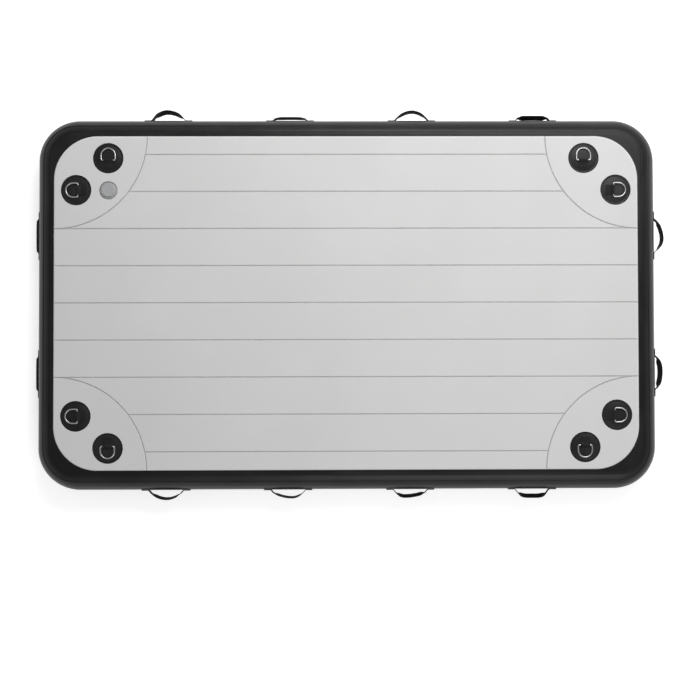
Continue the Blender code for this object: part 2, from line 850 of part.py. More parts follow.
def make_valve_body():
    """Flange and barrel in one, with the seat at the foot, the stem's guide and two latch ledges."""
    profile = [
        (bore_radius, flange_top),
        (flange_radius - flange_edge, flange_top),
        (flange_radius, flange_top - flange_edge),
        (flange_radius, flange_base),
        (barrel_radius, flange_base),
        (barrel_radius, -barrel_depth),
        (seat_radius, -barrel_depth),
        (seat_radius, -barrel_depth + seat_height),
        (bore_radius, -barrel_depth + seat_height),
        (bore_radius, -web_depth - web_thickness),
        (stem_radius + stem_clearance, -web_depth - web_thickness),
        (stem_radius + stem_clearance, -web_depth),
        (bore_radius, -web_depth),
    ]
    body = turned("valve_body", profile, grey_plastic, True)

    mesh = bpy.data.meshes.new("ledges")
    shape = bmesh.new()
    root = (barrel_radius - bore_radius) / 2
    for side in (-1, 1):
        size = (ledge_reach + root, ledge_width, ledge_thickness)
        middle = side * (bore_radius + (root - ledge_reach) / 2)
        box(shape, size, (middle, 0, ledge_top - ledge_thickness / 2))
    shape.to_mesh(mesh)
    shape.free()
    cut(body, valve_cutter("ledges", mesh), "UNION")

    mesh = bpy.data.meshes.new("ports")
    shape = bmesh.new()
    for index in range(port_count):
        angle = 2 * math.pi * (index + 1 / 2) / port_count
        at = (port_circle_radius * math.cos(angle), port_circle_radius * math.sin(angle), -web_depth)
        bmesh.ops.create_cone(
            shape, cap_ends=True, segments=port_steps, radius1=port_radius, radius2=port_radius,
            depth=3 * web_thickness, matrix=Matrix.Translation(at),
        )
    shape.to_mesh(mesh)
    shape.free()
    cut(body, valve_cutter("ports", mesh))
    return body


def make_stem():
    """Push button, stem, spring collar and poppet in one, with two keys that lock it open."""
    profile = [
        (0, -button_depth),
        (button_radius, -button_depth),
        (button_radius, -button_depth - button_thickness),
        (stem_radius, -button_depth - button_thickness),
        (stem_radius, -collar_depth),
        (collar_radius, -collar_depth),
        (collar_radius, collar_base),
        (stem_radius, collar_base),
        (stem_radius, poppet_top),
        (poppet_radius, poppet_top),
        (poppet_radius, poppet_top - poppet_thickness),
        (0, poppet_top - poppet_thickness),
    ]
    stem = turned("valve_stem", profile, grey_plastic, False)
    mesh = bpy.data.meshes.new("keys")
    shape = bmesh.new()
    box(shape, (key_width, 2 * key_reach, key_thickness), (0, 0, -collar_depth - key_thickness / 2))
    shape.to_mesh(mesh)
    shape.free()
    cut(stem, valve_cutter("keys", mesh), "UNION")


def make_spring():
    """The return spring between the stem's guide and its collar."""
    count = spring_turns * spring_points_per_turn
    points = []
    for index in range(count + 1):
        angle = 2 * math.pi * index / spring_points_per_turn
        height = spring_base + (spring_top - spring_base) * index / count
        points.append((spring_radius * math.cos(angle), spring_radius * math.sin(angle), height))
    pitch = (spring_top - spring_base) / spring_turns
    print(f"valve spring: {pitch - 2 * spring_wire_radius:.4f} m between turns")
    curve = poly_curve("valve_spring", [points], False, False)
    curve.bevel_depth = spring_wire_radius
    curve.bevel_resolution = 1
    curve.use_fill_caps = True
    place("valve_spring", curve, stainless, (*valve_place, chamber_height))


def make_cap():
    """The bayonet cap: a finger-grip disc over a skirt, with a groove for its sealing ring."""
    skirt_outer = bore_radius - cap_skirt_clearance
    skirt_inner = skirt_outer - cap_skirt_thickness
    groove_inner = skirt_outer - cap_groove_depth
    cap_top = cap_base + cap_thickness
    skirt_base = cap_base - cap_skirt_depth
    groove_base = (cap_base + skirt_base) / 2
    profile = [
        (0, cap_top),
        (cap_radius - cap_edge, cap_top),
        (cap_radius, cap_top - cap_edge),
        (cap_radius, cap_base),
        (skirt_outer, cap_base),
        (skirt_outer, groove_base + cap_groove_height),
        (groove_inner, groove_base + cap_groove_height),
        (groove_inner, groove_base),
        (skirt_outer, groove_base),
        (skirt_outer, skirt_base),
        (skirt_inner, skirt_base),
        (skirt_inner, cap_base),
        (0, cap_base),
    ]
    cap = turned("valve_cap", profile, grey_plastic, False)
    mesh = bpy.data.meshes.new("grips")
    shape = bmesh.new()
    distance = cap_radius + cap_grip_radius - cap_grip_bite
    for index in range(cap_grip_count):
        angle = 2 * math.pi * index / cap_grip_count
        at = (distance * math.cos(angle), distance * math.sin(angle), cap_top)
        bmesh.ops.create_cone(
            shape, cap_ends=True, segments=port_steps, radius1=cap_grip_radius, radius2=cap_grip_radius,
            depth=3 * cap_thickness, matrix=Matrix.Translation(at),
        )
    shape.to_mesh(mesh)
    shape.free()
    cut(cap, valve_cutter("grips", mesh))

    seal_inner = groove_inner + seat_gap
    ring = ring_profile(
        seal_inner, seal_inner + cap_seal_wall, groove_base + seat_gap,
        groove_base + cap_groove_height - seat_gap,
    )
    turned("valve_cap_seal", ring, black_rubber, True)


def make_valve():
    make_valve_body()
    make_stem()
    make_spring()
    make_cap()
    gasket_inner = barrel_radius + skin_hole_clearance
    gasket_top = gasket_base + gasket_thickness
    gasket = ring_profile(gasket_inner, flange_radius - flange_edge, gasket_base, gasket_top)
    turned("valve_gasket", gasket, black_rubber, True)
    nut_top = -skin_thickness - seat_gap
    nut_inner = barrel_radius + seat_gap
    nut = [
        (nut_inner, nut_top),
        (nut_radius, nut_top),
        (nut_radius, nut_top - nut_rim_thickness),
        (nut_hub_radius, nut_top - nut_rim_thickness),
        (nut_hub_radius, nut_top - nut_height),
        (nut_inner, nut_top - nut_height),
    ]
    turned("valve_nut", nut, grey_plastic, True)
    seal_top = -barrel_depth - seat_gap
    seal = ring_profile(seal_inner_radius, seal_outer_radius, seal_top - seal_thickness, seal_top)
    turned("valve_seal", seal, black_rubber, True)


make_chamber()
make_yarns()
make_deck()
make_rings()
make_handles()
make_valve()

bpy.context.view_layer.update()
for made in parts.objects:
    if made.type == "MESH":
        round_off(made)
print(f"{len(parts.objects)} sub-parts")
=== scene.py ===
import json
import math

import bmesh
import bpy
import numpy as np
from mathutils import Matrix, Vector

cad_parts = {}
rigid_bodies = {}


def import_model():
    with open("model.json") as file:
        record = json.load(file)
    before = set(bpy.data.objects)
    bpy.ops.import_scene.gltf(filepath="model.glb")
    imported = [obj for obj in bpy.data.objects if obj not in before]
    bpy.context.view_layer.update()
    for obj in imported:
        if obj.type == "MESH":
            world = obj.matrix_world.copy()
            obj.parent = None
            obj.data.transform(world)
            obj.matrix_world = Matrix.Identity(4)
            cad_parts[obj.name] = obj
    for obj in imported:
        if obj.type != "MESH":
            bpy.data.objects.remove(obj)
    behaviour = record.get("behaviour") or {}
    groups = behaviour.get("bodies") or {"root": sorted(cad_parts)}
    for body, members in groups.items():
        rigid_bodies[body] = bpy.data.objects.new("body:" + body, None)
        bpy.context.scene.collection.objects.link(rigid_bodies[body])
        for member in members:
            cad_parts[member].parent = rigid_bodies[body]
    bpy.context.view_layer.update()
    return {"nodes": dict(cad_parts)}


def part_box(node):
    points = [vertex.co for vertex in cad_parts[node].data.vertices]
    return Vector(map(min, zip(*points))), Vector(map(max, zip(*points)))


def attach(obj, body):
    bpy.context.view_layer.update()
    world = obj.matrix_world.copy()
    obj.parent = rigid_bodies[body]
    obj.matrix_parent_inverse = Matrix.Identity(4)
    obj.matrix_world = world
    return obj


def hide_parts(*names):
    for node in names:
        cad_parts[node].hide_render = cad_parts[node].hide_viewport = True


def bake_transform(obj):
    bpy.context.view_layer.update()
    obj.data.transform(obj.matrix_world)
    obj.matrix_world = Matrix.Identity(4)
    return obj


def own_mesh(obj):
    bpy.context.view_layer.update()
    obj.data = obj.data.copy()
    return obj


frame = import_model()
print("stage: frame loaded")

mm = 0.001


# node helpers

def put(tree, kind, wires=None, **settings):
    # adds a node, sets its properties and connects it
    node = tree.nodes.new(kind)
    for key, value in settings.items():
        setattr(node, key, value)
    return connect(tree, node, wires or {})


def connect(tree, node, wires):
    # gives each named socket of the node a value or a link
    for key, value in wires.items():
        socket = node.inputs[key]
        if isinstance(value, bpy.types.NodeSocket):
            tree.links.new(value, socket)
        else:
            socket.default_value = value
    return node


def maths(tree, operation, *values):
    return put(tree, "ShaderNodeMath", dict(enumerate(values)), operation=operation).outputs[0]


def newTree(name, kind, inputs, outputs):
    # inputs and outputs give each label its socket's type
    tree = bpy.data.node_groups.new(name, kind)
    for labels, way in ((inputs, "INPUT"), (outputs, "OUTPUT")):
        for label, socketType in labels.items():
            tree.interface.new_socket(label, in_out=way, socket_type="NodeSocket" + socketType)
    return tree, tree.nodes.new("NodeGroupInput").outputs, tree.nodes.new("NodeGroupOutput").inputs


# shader groups, shared by the materials

mottleNoise = {"broadDetail": 4.0, "fineDetail": 5.0, "fineRoughness": 0.6}


def mottleGroup():
    # broad shade differences and a fine grain, both from one position
    tree, given, out = newTree(
        "surfaceMottle", "ShaderNodeTree",
        {"Position": "Vector", "Fine Scale": "Float", "Broad Scale": "Float", "Contrast": "Float"},
        {"Shade": "Float", "Grain": "Float"})
    broad = put(tree, "ShaderNodeTexNoise", {"Vector": given["Position"], "Scale": given["Broad Scale"],
                                             "Detail": mottleNoise["broadDetail"]})
    fine = put(tree, "ShaderNodeTexNoise", {"Vector": given["Position"], "Scale": given["Fine Scale"],
                                            "Detail": mottleNoise["fineDetail"],
                                            "Roughness": mottleNoise["fineRoughness"]})
    centred = maths(tree, "SUBTRACT", broad.outputs["Fac"], 0.5)
    tree.links.new(maths(tree, "MULTIPLY_ADD", centred, given["Contrast"], 1.0), out["Shade"])
    tree.links.new(fine.outputs["Fac"], out["Grain"])
    return tree


def weaveGroup():
    # a plain weave: threads over and under at one pitch, on the X and Y of a position
    tree, given, out = newTree("plainWeave", "ShaderNodeTree", {"Position": "Vector", "Pitch": "Float"},
                               {"Height": "Float"})
    parts = put(tree, "ShaderNodeSeparateXYZ", {"Vector": given["Position"]}).outputs
    turns = maths(tree, "DIVIDE", math.pi, given["Pitch"])
    across = maths(tree, "SINE", maths(tree, "MULTIPLY", parts["X"], turns))
    along = maths(tree, "SINE", maths(tree, "MULTIPLY", parts["Y"], turns))
    crossed = maths(tree, "MULTIPLY", across, along)
    tree.links.new(maths(tree, "MULTIPLY_ADD", crossed, 0.5, 0.5), out["Height"])
    return tree


dustFilm = {"colour": (0.30, 0.29, 0.27, 1.0), "detail": 6.0, "patchFrom": 0.42, "patchTo": 0.68}


def dustGroup():
    # a thin pale film in patches
    tree, given, out = newTree(
        "settledDust", "ShaderNodeTree",
        {"Position": "Vector", "Scale": "Float", "Amount": "Float", "Colour": "Color", "Dust Colour": "Color"},
        {"Colour": "Color"})
    noise = put(tree, "ShaderNodeTexNoise",
                {"Vector": given["Position"], "Scale": given["Scale"], "Detail": dustFilm["detail"]})
    patches = put(tree, "ShaderNodeMapRange", {"Value": noise.outputs["Fac"], "From Min": dustFilm["patchFrom"],
                                               "From Max": dustFilm["patchTo"]})
    share = maths(tree, "MULTIPLY", patches.outputs["Result"], given["Amount"])
    mixed = put(tree, "ShaderNodeMix", {"Factor": share, "A": given["Colour"], "B": given["Dust Colour"]},
                data_type="RGBA")
    tree.links.new(mixed.outputs["Result"], out["Colour"])
    return tree


mottle = mottleGroup()
weave = weaveGroup()
dust = dustGroup()


# materials, one dictionary of looks for each
# grain and weave are (scale or pitch, bump distance); mottle is (scale, contrast); dust is (scale, amount)

pvcLook = {"colour": (0.0060, 0.0061, 0.0065), "roughness": 0.42, "specular": 0.21, "grain": (900.0, 0.00006),
           "mottle": (7.0, 0.35), "weave": (0.0011, 0.00003), "dust": (5.0, 0.02)}
wallLook = {**pvcLook, "roughness": 0.38, "space": "UVMap"}
tapeLook = {"colour": (0.0055, 0.0056, 0.0060), "roughness": 0.36, "specular": 0.25, "grain": (700.0, 0.00005),
            "mottle": (9.0, 0.30), "dust": (6.0, 0.02)}
patchLook = {"colour": (0.0075, 0.0076, 0.0080), "roughness": 0.46, "specular": 0.25, "grain": (1100.0, 0.00007),
             "mottle": (14.0, 0.30), "weave": (0.0009, 0.00002), "dust": (9.0, 0.03)}
webbingLook = {"colour": (0.0060, 0.0060, 0.0064), "roughness": 0.70, "specular": 0.25,
               "grain": (1600.0, 0.00005), "mottle": (30.0, 0.30), "weave": (0.0016, 0.00028), "space": "UVMap",
               "sheen": 0.06}
threadLook = {"colour": (0.0120, 0.0120, 0.0125), "roughness": 0.60, "specular": 0.30,
              "grain": (2500.0, 0.00004), "mottle": (60.0, 0.20)}
steelLook = {"colour": (0.420, 0.420, 0.412), "roughness": 0.26, "metallic": 1.0, "specular": 0.50,
             "grain": (1800.0, 0.00001), "mottle": (50.0, 0.10)}
plasticLook = {"colour": (0.345, 0.348, 0.352), "roughness": 0.42, "specular": 0.45, "grain": (1500.0, 0.00003),
               "mottle": (24.0, 0.12)}
rubberLook = {"colour": (0.018, 0.018, 0.018), "roughness": 0.65, "specular": 0.35, "grain": (1500.0, 0.00004),
              "mottle": (30.0, 0.25)}
yarnLook = {"colour": (0.750, 0.750, 0.720), "roughness": 0.85, "specular": 0.25, "grain": (2500.0, 0.00006),
            "mottle": (40.0, 0.15)}
sheenRoughness = 0.4
roughnessSwing = 0.18  # how far the grain moves the roughness


def newMaterial(name, look):
    # a principled material with the look's constant sockets set
    made = bpy.data.materials.new(name)
    made.use_nodes = True
    tree = made.node_tree
    shader = connect(tree, tree.nodes["Principled BSDF"], {
        "Metallic": look.get("metallic", 0.0), "Specular IOR Level": look["specular"],
        "Sheen Weight": look.get("sheen", 0.0), "Sheen Roughness": sheenRoughness})
    made.diffuse_color = (*look["colour"], 1.0)
    return made, tree, shader


def objectPosition(tree):
    return put(tree, "ShaderNodeTexCoord").outputs["Object"]


def dressShader(tree, shader, look, colour):
    # colour, roughness and bump from the shared groups
    position = objectPosition(tree)
    spots = put(tree, "ShaderNodeGroup", {
        "Position": position, "Fine Scale": look["grain"][0], "Broad Scale": look["mottle"][0],
        "Contrast": look["mottle"][1]}, node_tree=mottle).outputs
    shaded = put(tree, "ShaderNodeVectorMath", {0: colour, "Scale": spots["Shade"]}, operation="SCALE").outputs[0]
    if "dust" in look:
        scale, amount = look["dust"]
        shaded = put(tree, "ShaderNodeGroup", {
            "Position": position, "Scale": scale, "Amount": amount, "Colour": shaded,
            "Dust Colour": dustFilm["colour"]}, node_tree=dust).outputs["Colour"]
    wave = maths(tree, "SUBTRACT", spots["Grain"], 0.5)
    rough = maths(tree, "MULTIPLY_ADD", wave, roughnessSwing, look["roughness"])
    normal = put(tree, "ShaderNodeBump", {"Height": spots["Grain"], "Distance": look["grain"][1]}).outputs[0]
    if "weave" in look:
        pitch, depth = look["weave"]
        onCloth = put(tree, "ShaderNodeUVMap", uv_map=look["space"]).outputs["UV"] if "space" in look else position
        cloth = put(tree, "ShaderNodeGroup", {"Position": onCloth, "Pitch": pitch}, node_tree=weave)
        normal = put(tree, "ShaderNodeBump",
                     {"Height": cloth.outputs["Height"], "Distance": depth, "Normal": normal}).outputs[0]
    connect(tree, shader, {"Base Color": shaded, "Roughness": rough, "Normal": normal})


def plainFinish(name, look):
    made, tree, shader = newMaterial(name, look)
    colour = put(tree, "ShaderNodeRGB").outputs[0]
    colour.default_value = (*look["colour"], 1.0)
    dressShader(tree, shader, look, colour)
    return made


foamLook = {"colour": (0.585, 0.585, 0.583), "roughness": 0.86, "specular": 0.25, "grain": (1400.0, 0.00022),
            # the edge colour is partly the paler cut foam and partly a painted highlight along the rim and the
            # groove edges
            "mottle": (3.5, 0.10), "sheen": 0.05, "cutEdgeAndHighlightColour": (0.720, 0.720, 0.715),
            # the groove colour is painted shade in the grooves, the pad joints, the cutouts and down the deck's
            # sides
            "grooveShadeColour": (0.400, 0.400, 0.398), "edgeDepth": 0.35 * mm, "edgeStart": 0.3,
            "grooveStart": 1.5 * mm, "grooveBlend": 0.4 * mm, "poreScale": 650.0, "poreDepth": 0.00012}


def foamFinish(name, look, topHeight):
    # closed-cell foam: the brushed top; just under it a paler edge, partly the paler cut foam and partly a painted
    # highlight; and the darker groove floor, which is painted shade in the grooves and lower down
    made, tree, shader = newMaterial(name, look)
    position = objectPosition(tree)
    height = put(tree, "ShaderNodeSeparateXYZ", {"Vector": position}).outputs["Z"]
    depth = maths(tree, "SUBTRACT", topHeight, height)
    mixed = (*look["colour"], 1.0)
    # the paler band just under the top is partly cut foam and partly a painted highlight; the darker colour deeper
    # down is painted shade
    for colour, start, end in (
            ("cutEdgeAndHighlightColour", look["edgeDepth"] * look["edgeStart"], look["edgeDepth"]),
            ("grooveShadeColour", look["grooveStart"], look["grooveStart"] + look["grooveBlend"])):
        share = put(tree, "ShaderNodeMapRange", {"Value": depth, "From Min": start, "From Max": end}).outputs[0]
        mixed = put(tree, "ShaderNodeMix", {"Factor": share, "A": mixed, "B": (*look[colour], 1.0)},
                    data_type="RGBA").outputs["Result"]
    dressShader(tree, shader, look, mixed)
    pores = put(tree, "ShaderNodeTexVoronoi", {"Vector": position, "Scale": look["poreScale"]})
    under = shader.inputs["Normal"].links[0].from_socket
    pitted = put(tree, "ShaderNodeBump",
                 {"Height": pores.outputs["Distance"], "Distance": look["poreDepth"], "Normal": under})
    tree.links.new(pitted.outputs[0], shader.inputs["Normal"])
    return made


pvc = plainFinish("charcoalPvc", pvcLook)
wallPvc = plainFinish("wallPvc", wallLook)
tapePvc = plainFinish("blackTape", tapeLook)
patchPvc = plainFinish("patchPvc", patchLook)
webbing = plainFinish("blackWebbing", webbingLook)
thread = plainFinish("sewingThread", threadLook)
steel = plainFinish("stainlessWire", steelLook)
plastic = plainFinish("valvePlastic", plasticLook)
rubber = plainFinish("sealRubber", rubberLook)
yarn = plainFinish("dropYarn", yarnLook)
print("stage: materials made")


# mesh helpers

quarters = ((1, 1, 0), (-1, 1, 90), (-1, -1, 180), (1, -1, 270))  # each corner's signs and its arc's first angle
sharpAngle = 38
weldDistance = 0.01 * mm


def newObject(name, data):
    made = bpy.data.objects.new(name, data)
    bpy.context.scene.collection.objects.link(made)
    return made


def newPiece(name, mesh, material):
    made = newObject(name, mesh)
    mesh.materials.clear()
    mesh.materials.append(material)
    mesh.shade_smooth()
    mesh.set_sharp_from_angle(angle=math.radians(sharpAngle))
    return made


def meshFrom(name, points, faces):
    mesh = bpy.data.meshes.new(name)
    mesh.from_pydata([tuple(p) for p in points], [], faces)
    mesh.update()
    return mesh


def meshOf(name, shape):
    mesh = bpy.data.meshes.new(name)
    shape.to_mesh(mesh)
    shape.free()
    return mesh


def finished(piece, cutters=()):
    # the piece as a plain mesh, with its modifiers applied and its cutters gone
    graph = bpy.context.evaluated_depsgraph_get()
    mesh = bpy.data.meshes.new_from_object(piece.evaluated_get(graph))
    old = piece.data
    piece.modifiers.clear()
    piece.data = mesh
    if old.users == 0:
        bpy.data.batch_remove([old])
    for cutter in cutters:
        bpy.data.objects.remove(cutter)
    return piece


def walled(piece, thickness, offset):
    # gives a sheet its wall: inwards with offset -1, outwards with 1
    wall = piece.modifiers.new("wall", "SOLIDIFY")
    wall.thickness = thickness
    wall.offset = offset


def cutFrom(piece, cutters):
    for cutter in cutters:
        step = piece.modifiers.new("cut", "BOOLEAN")
        step.object = cutter


def softened(piece, angle, width, cutters=()):
    # a small round on every edge that is sharper than the angle
    soft = piece.modifiers.new("soften", "BEVEL")
    soft.limit_method = "ANGLE"
    soft.angle_limit = math.radians(angle)
    soft.width = width
    soft.segments = 2
    return finished(piece, cutters)


def settle(piece, body, slotName, *nodes):
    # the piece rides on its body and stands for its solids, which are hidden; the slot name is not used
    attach(piece, body)
    if nodes:
        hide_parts(*nodes)
    return piece


def middleOf(node):
    low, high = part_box(node)
    return (low + high) / 2


def ease(share):
    return share * share * (3 - 2 * share)


def arcPoints(centre, radius, start, end, steps):
    angles = np.radians(np.linspace(start, end, steps + 1))
    return np.stack([centre[0] + radius * np.cos(angles), centre[1] + radius * np.sin(angles)], axis=1)


def roundedOutline(halfX, halfY, radius, inset, steps):
    # a rectangle with round corners, set in on all sides
    return np.concatenate([
        arcPoints((sx * (halfX - radius), sy * (halfY - radius)), radius - inset, start, start + 90, steps)
        for sx, sy, start in quarters])


def ringFaces(levels, count):
    # quads between closed rings of points, one ring after the other
    faces = []
    for k in range(levels - 1):
        for i in range(count):
            j = (i + 1) % count
            faces.append((k * count + i, k * count + j, (k + 1) * count + j, (k + 1) * count + i))
    return faces


def profileAt(offsets, radius, height):
    # a profile's points, from offsets in millimetres
    return [(radius + outward * mm, height + up * mm) for outward, up in offsets]


def lathe(name, profile, steps, at, material, radiusAt=None):
    # a turned piece; radiusAt may change a profile point's radius with its angle
    profile = np.array(profile)
    points = []
    for angle in np.linspace(0, 2 * math.pi, steps, endpoint=False):
        radii = profile[:, 0] if radiusAt is None else radiusAt(profile, angle)
        points.append(np.stack([radii * math.cos(angle), radii * math.sin(angle), profile[:, 1]], axis=1))
    count = len(profile)
    faces = []
    for i in range(steps):
        j = (i + 1) % steps
        faces += [(i * count + k, i * count + k + 1, j * count + k + 1, j * count + k) for k in range(count - 1)]
    mesh = meshFrom(name, np.concatenate(points) + np.array(at), faces)
    shape = bmesh.new()
    shape.from_mesh(mesh)
    bmesh.ops.remove_doubles(shape, verts=shape.verts, dist=weldDistance)
    bmesh.ops.recalc_face_normals(shape, faces=shape.faces)
    shape.to_mesh(mesh)
    shape.free()
    return newPiece(name, mesh, material)


def holeCutter(name, radius, sizes, at):
    shape = bmesh.new()
    bmesh.ops.create_cone(shape, cap_ends=True, segments=sizes["holeSteps"], radius1=radius, radius2=radius,
                          depth=sizes["holeDepth"], matrix=Matrix.Translation(at))
    return newObject(name, meshOf(name, shape))


# Geometry Nodes trees

def runTree(tree, mesh, values):
    # the mesh that a tree makes from a line mesh, with the named inputs given
    carrier = newObject("carrier", mesh)
    modifier = carrier.modifiers.new("nodes", "NODES")
    modifier.node_group = tree
    for item in tree.interface.items_tree:
        if item.item_type == "SOCKET" and item.in_out == "INPUT" and item.name in values:
            modifier[item.identifier] = values[item.name]
    graph = bpy.context.evaluated_depsgraph_get()
    made = bpy.data.meshes.new_from_object(carrier.evaluated_get(graph))
    bpy.data.objects.remove(carrier)
    bpy.data.meshes.remove(mesh)
    return made


def lineMesh(lines, tilts=None, cyclic=False):
    # poly lines, with a tilt at every point where tilts are given
    mesh = bpy.data.meshes.new("line")
    points, edges = [], []
    for line in lines:
        start = len(points)
        points += [tuple(p) for p in line]
        edges += [(start + i, start + i + 1) for i in range(len(line) - 1)]
        if cyclic:
            edges.append((len(points) - 1, start))
    mesh.from_pydata(points, edges, [])
    tilt = mesh.attributes.new("tilt", "FLOAT", "POINT")
    if tilts is not None:
        tilt.data.foreach_set("value", np.array(tilts, np.float32))
    return mesh


def closeTree(tree, geometry, given, out):
    # the end of every tree: real geometry in the given finish
    plain = put(tree, "GeometryNodeRealizeInstances", {"Geometry": geometry}).outputs[0]
    dressed = put(tree, "GeometryNodeSetMaterial", {"Geometry": plain, "Material": given["Finish"]}).outputs[0]
    tree.links.new(dressed, out["Mesh"])
    return tree


def bandTree(name, normals):
    # sweeps a strap or wire along a line: a rectangle with rounded corners, and UVs in metres along it
    tree, given, out = newTree(
        name, "GeometryNodeTree",
        {"Line": "Geometry", "Width": "Float", "Thickness": "Float", "Corner": "Float", "Corner Steps": "Int",
         "Finish": "Material"},
        {"Mesh": "Geometry"})
    curve = put(tree, "GeometryNodeMeshToCurve", {"Mesh": given["Line"]}).outputs[0]
    curve = put(tree, "GeometryNodeSetCurveNormal", {"Curve": curve}, mode=normals).outputs[0]
    tilt = put(tree, "GeometryNodeInputNamedAttribute", {"Name": "tilt"}, data_type="FLOAT").outputs["Attribute"]
    curve = put(tree, "GeometryNodeSetCurveTilt", {"Curve": curve, "Tilt": tilt}).outputs[0]
    profile = put(tree, "GeometryNodeCurvePrimitiveQuadrilateral",
                  {"Width": given["Thickness"], "Height": given["Width"]}).outputs[0]
    profile = put(tree, "GeometryNodeFilletCurve",
                  {"Curve": profile, "Count": given["Corner Steps"], "Radius": given["Corner"]},
                  mode="POLY").outputs[0]
    lengths, kept = [], []
    for line in (curve, profile):
        store = tree.nodes.new("GeometryNodeCaptureAttribute")
        store.capture_items.new("FLOAT", "Length")
        tree.links.new(line, store.inputs["Geometry"])
        tree.links.new(tree.nodes.new("GeometryNodeSplineParameter").outputs["Length"], store.inputs[1])
        kept.append(store.outputs["Geometry"])
        lengths.append(store.outputs[1])
    swept = put(tree, "GeometryNodeCurveToMesh",
                {"Curve": kept[0], "Profile Curve": kept[1], "Fill Caps": True}).outputs[0]
    pair = put(tree, "ShaderNodeCombineXYZ", {"X": lengths[0], "Y": lengths[1]}).outputs[0]
    swept = put(tree, "GeometryNodeStoreNamedAttribute", {"Geometry": swept, "Name": "UVMap", "Value": pair},
                data_type="FLOAT2", domain="CORNER").outputs[0]
    return closeTree(tree, swept, given, out)


stitchBall = {"Segments": 6, "Rings": 5, "Radius": 1.0}


def stitchTree():
    # a thread stitch at every pitch along the lines
    tree, given, out = newTree(
        "stitchRow", "GeometryNodeTree",
        {"Line": "Geometry", "Pitch": "Float", "Stitch Length": "Float", "Thread Radius": "Float",
         "Finish": "Material"},
        {"Mesh": "Geometry"})
    curve = put(tree, "GeometryNodeMeshToCurve", {"Mesh": given["Line"]}).outputs[0]
    points = put(tree, "GeometryNodeCurveToPoints", {"Curve": curve, "Length": given["Pitch"]}, mode="LENGTH")
    ball = put(tree, "GeometryNodeMeshUVSphere", stitchBall).outputs["Mesh"]
    half = maths(tree, "MULTIPLY", given["Stitch Length"], 0.5)
    size = put(tree, "ShaderNodeCombineXYZ",
               {"X": given["Thread Radius"], "Y": given["Thread Radius"], "Z": half}).outputs[0]
    rows = put(tree, "GeometryNodeInstanceOnPoints",
               {"Points": points.outputs["Points"], "Instance": ball, "Rotation": points.outputs["Rotation"],
                "Scale": size}).outputs[0]
    return closeTree(tree, rows, given, out)


uprightBand = bandTree("uprightBand", "Z_UP")
foldedBand = bandTree("foldedBand", "MINIMUM_TWIST")
stitches = stitchTree()
wireCorner = 0.999  # the share of its radius at which a wire's square section is round


def sweptPiece(name, tree, line, finish, size, tilts=None, cyclic=False):
    # size is (width, thickness, corner, corner steps)
    width, thickness, corner, cornerSteps = size
    mesh = runTree(tree, lineMesh([line], tilts, cyclic), {
        "Width": width, "Thickness": thickness, "Corner": corner, "Corner Steps": cornerSteps, "Finish": finish})
    return newPiece(name, mesh, finish)


def stitched(name, lines, sizes):
    mesh = runTree(stitches, lineMesh(lines), {
        "Pitch": sizes["stitchPitch"], "Stitch Length": sizes["stitchLength"],
        "Thread Radius": sizes["threadRadius"], "Finish": thread})
    return newPiece(name, mesh, thread)


print("stage: trees built")


# air chamber: skins, side wall and seam tapes, all swept round one rounded rectangle

chamber = {"height": 150 * mm, "corner": 170 * mm, "skin": 1.2 * mm, "wall": 1.6 * mm, "gap": 0.3 * mm,
           "skinFrom": 22.5, "wallEdge": 56.25, "cornerSteps": 84, "arcSteps": 40, "rimSteps": 30,
           "straightStep": 20 * mm, "valveHole": 20.5 * mm, "holeSteps": 96, "holeDepth": 10 * mm}
lowWall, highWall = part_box("side_wall")
halfLength = highWall.x
halfWidth = highWall.y
midHeight = (lowWall.z + highWall.z) / 2
skinRadius = chamber["height"] / 2
wallRadius = skinRadius + chamber["gap"] + chamber["wall"]


def roundPath():
    # points, outward directions, distance along, and how far into a corner each point is (0 to 1 to 0)
    radius = chamber["corner"] - wallRadius
    halfX, halfY = halfLength - wallRadius - radius, halfWidth - wallRadius - radius
    steps = chamber["cornerSteps"]
    centres, normals, along, corner = [], [], [], []
    run = 0.0
    for sx, sy, first in quarters:
        middle = np.array([sx * halfX, sy * halfY])
        for i in range(steps + 1):
            angle = math.radians(first + 90 * i / steps)
            normal = np.array([math.cos(angle), math.sin(angle)])
            centres.append(middle + radius * normal)
            normals.append(normal)
            along.append(run + chamber["corner"] * math.radians(90) * i / steps)
            corner.append(math.sin(math.pi * i / steps) ** 2)
        run = along[-1]
        straight = 2 * (halfX if first % 180 == 0 else halfY)
        direction = np.array([-normals[-1][1], normals[-1][0]])
        count = round(straight / chamber["straightStep"])
        start = centres[-1]
        for i in range(1, count):
            centres.append(start + direction * straight * i / count)
            normals.append(normals[-1])
            along.append(run + straight * i / count)
            corner.append(0.0)
        run += straight
    return np.array(centres), np.array(normals), np.array(along), np.array(corner)


path = roundPath()


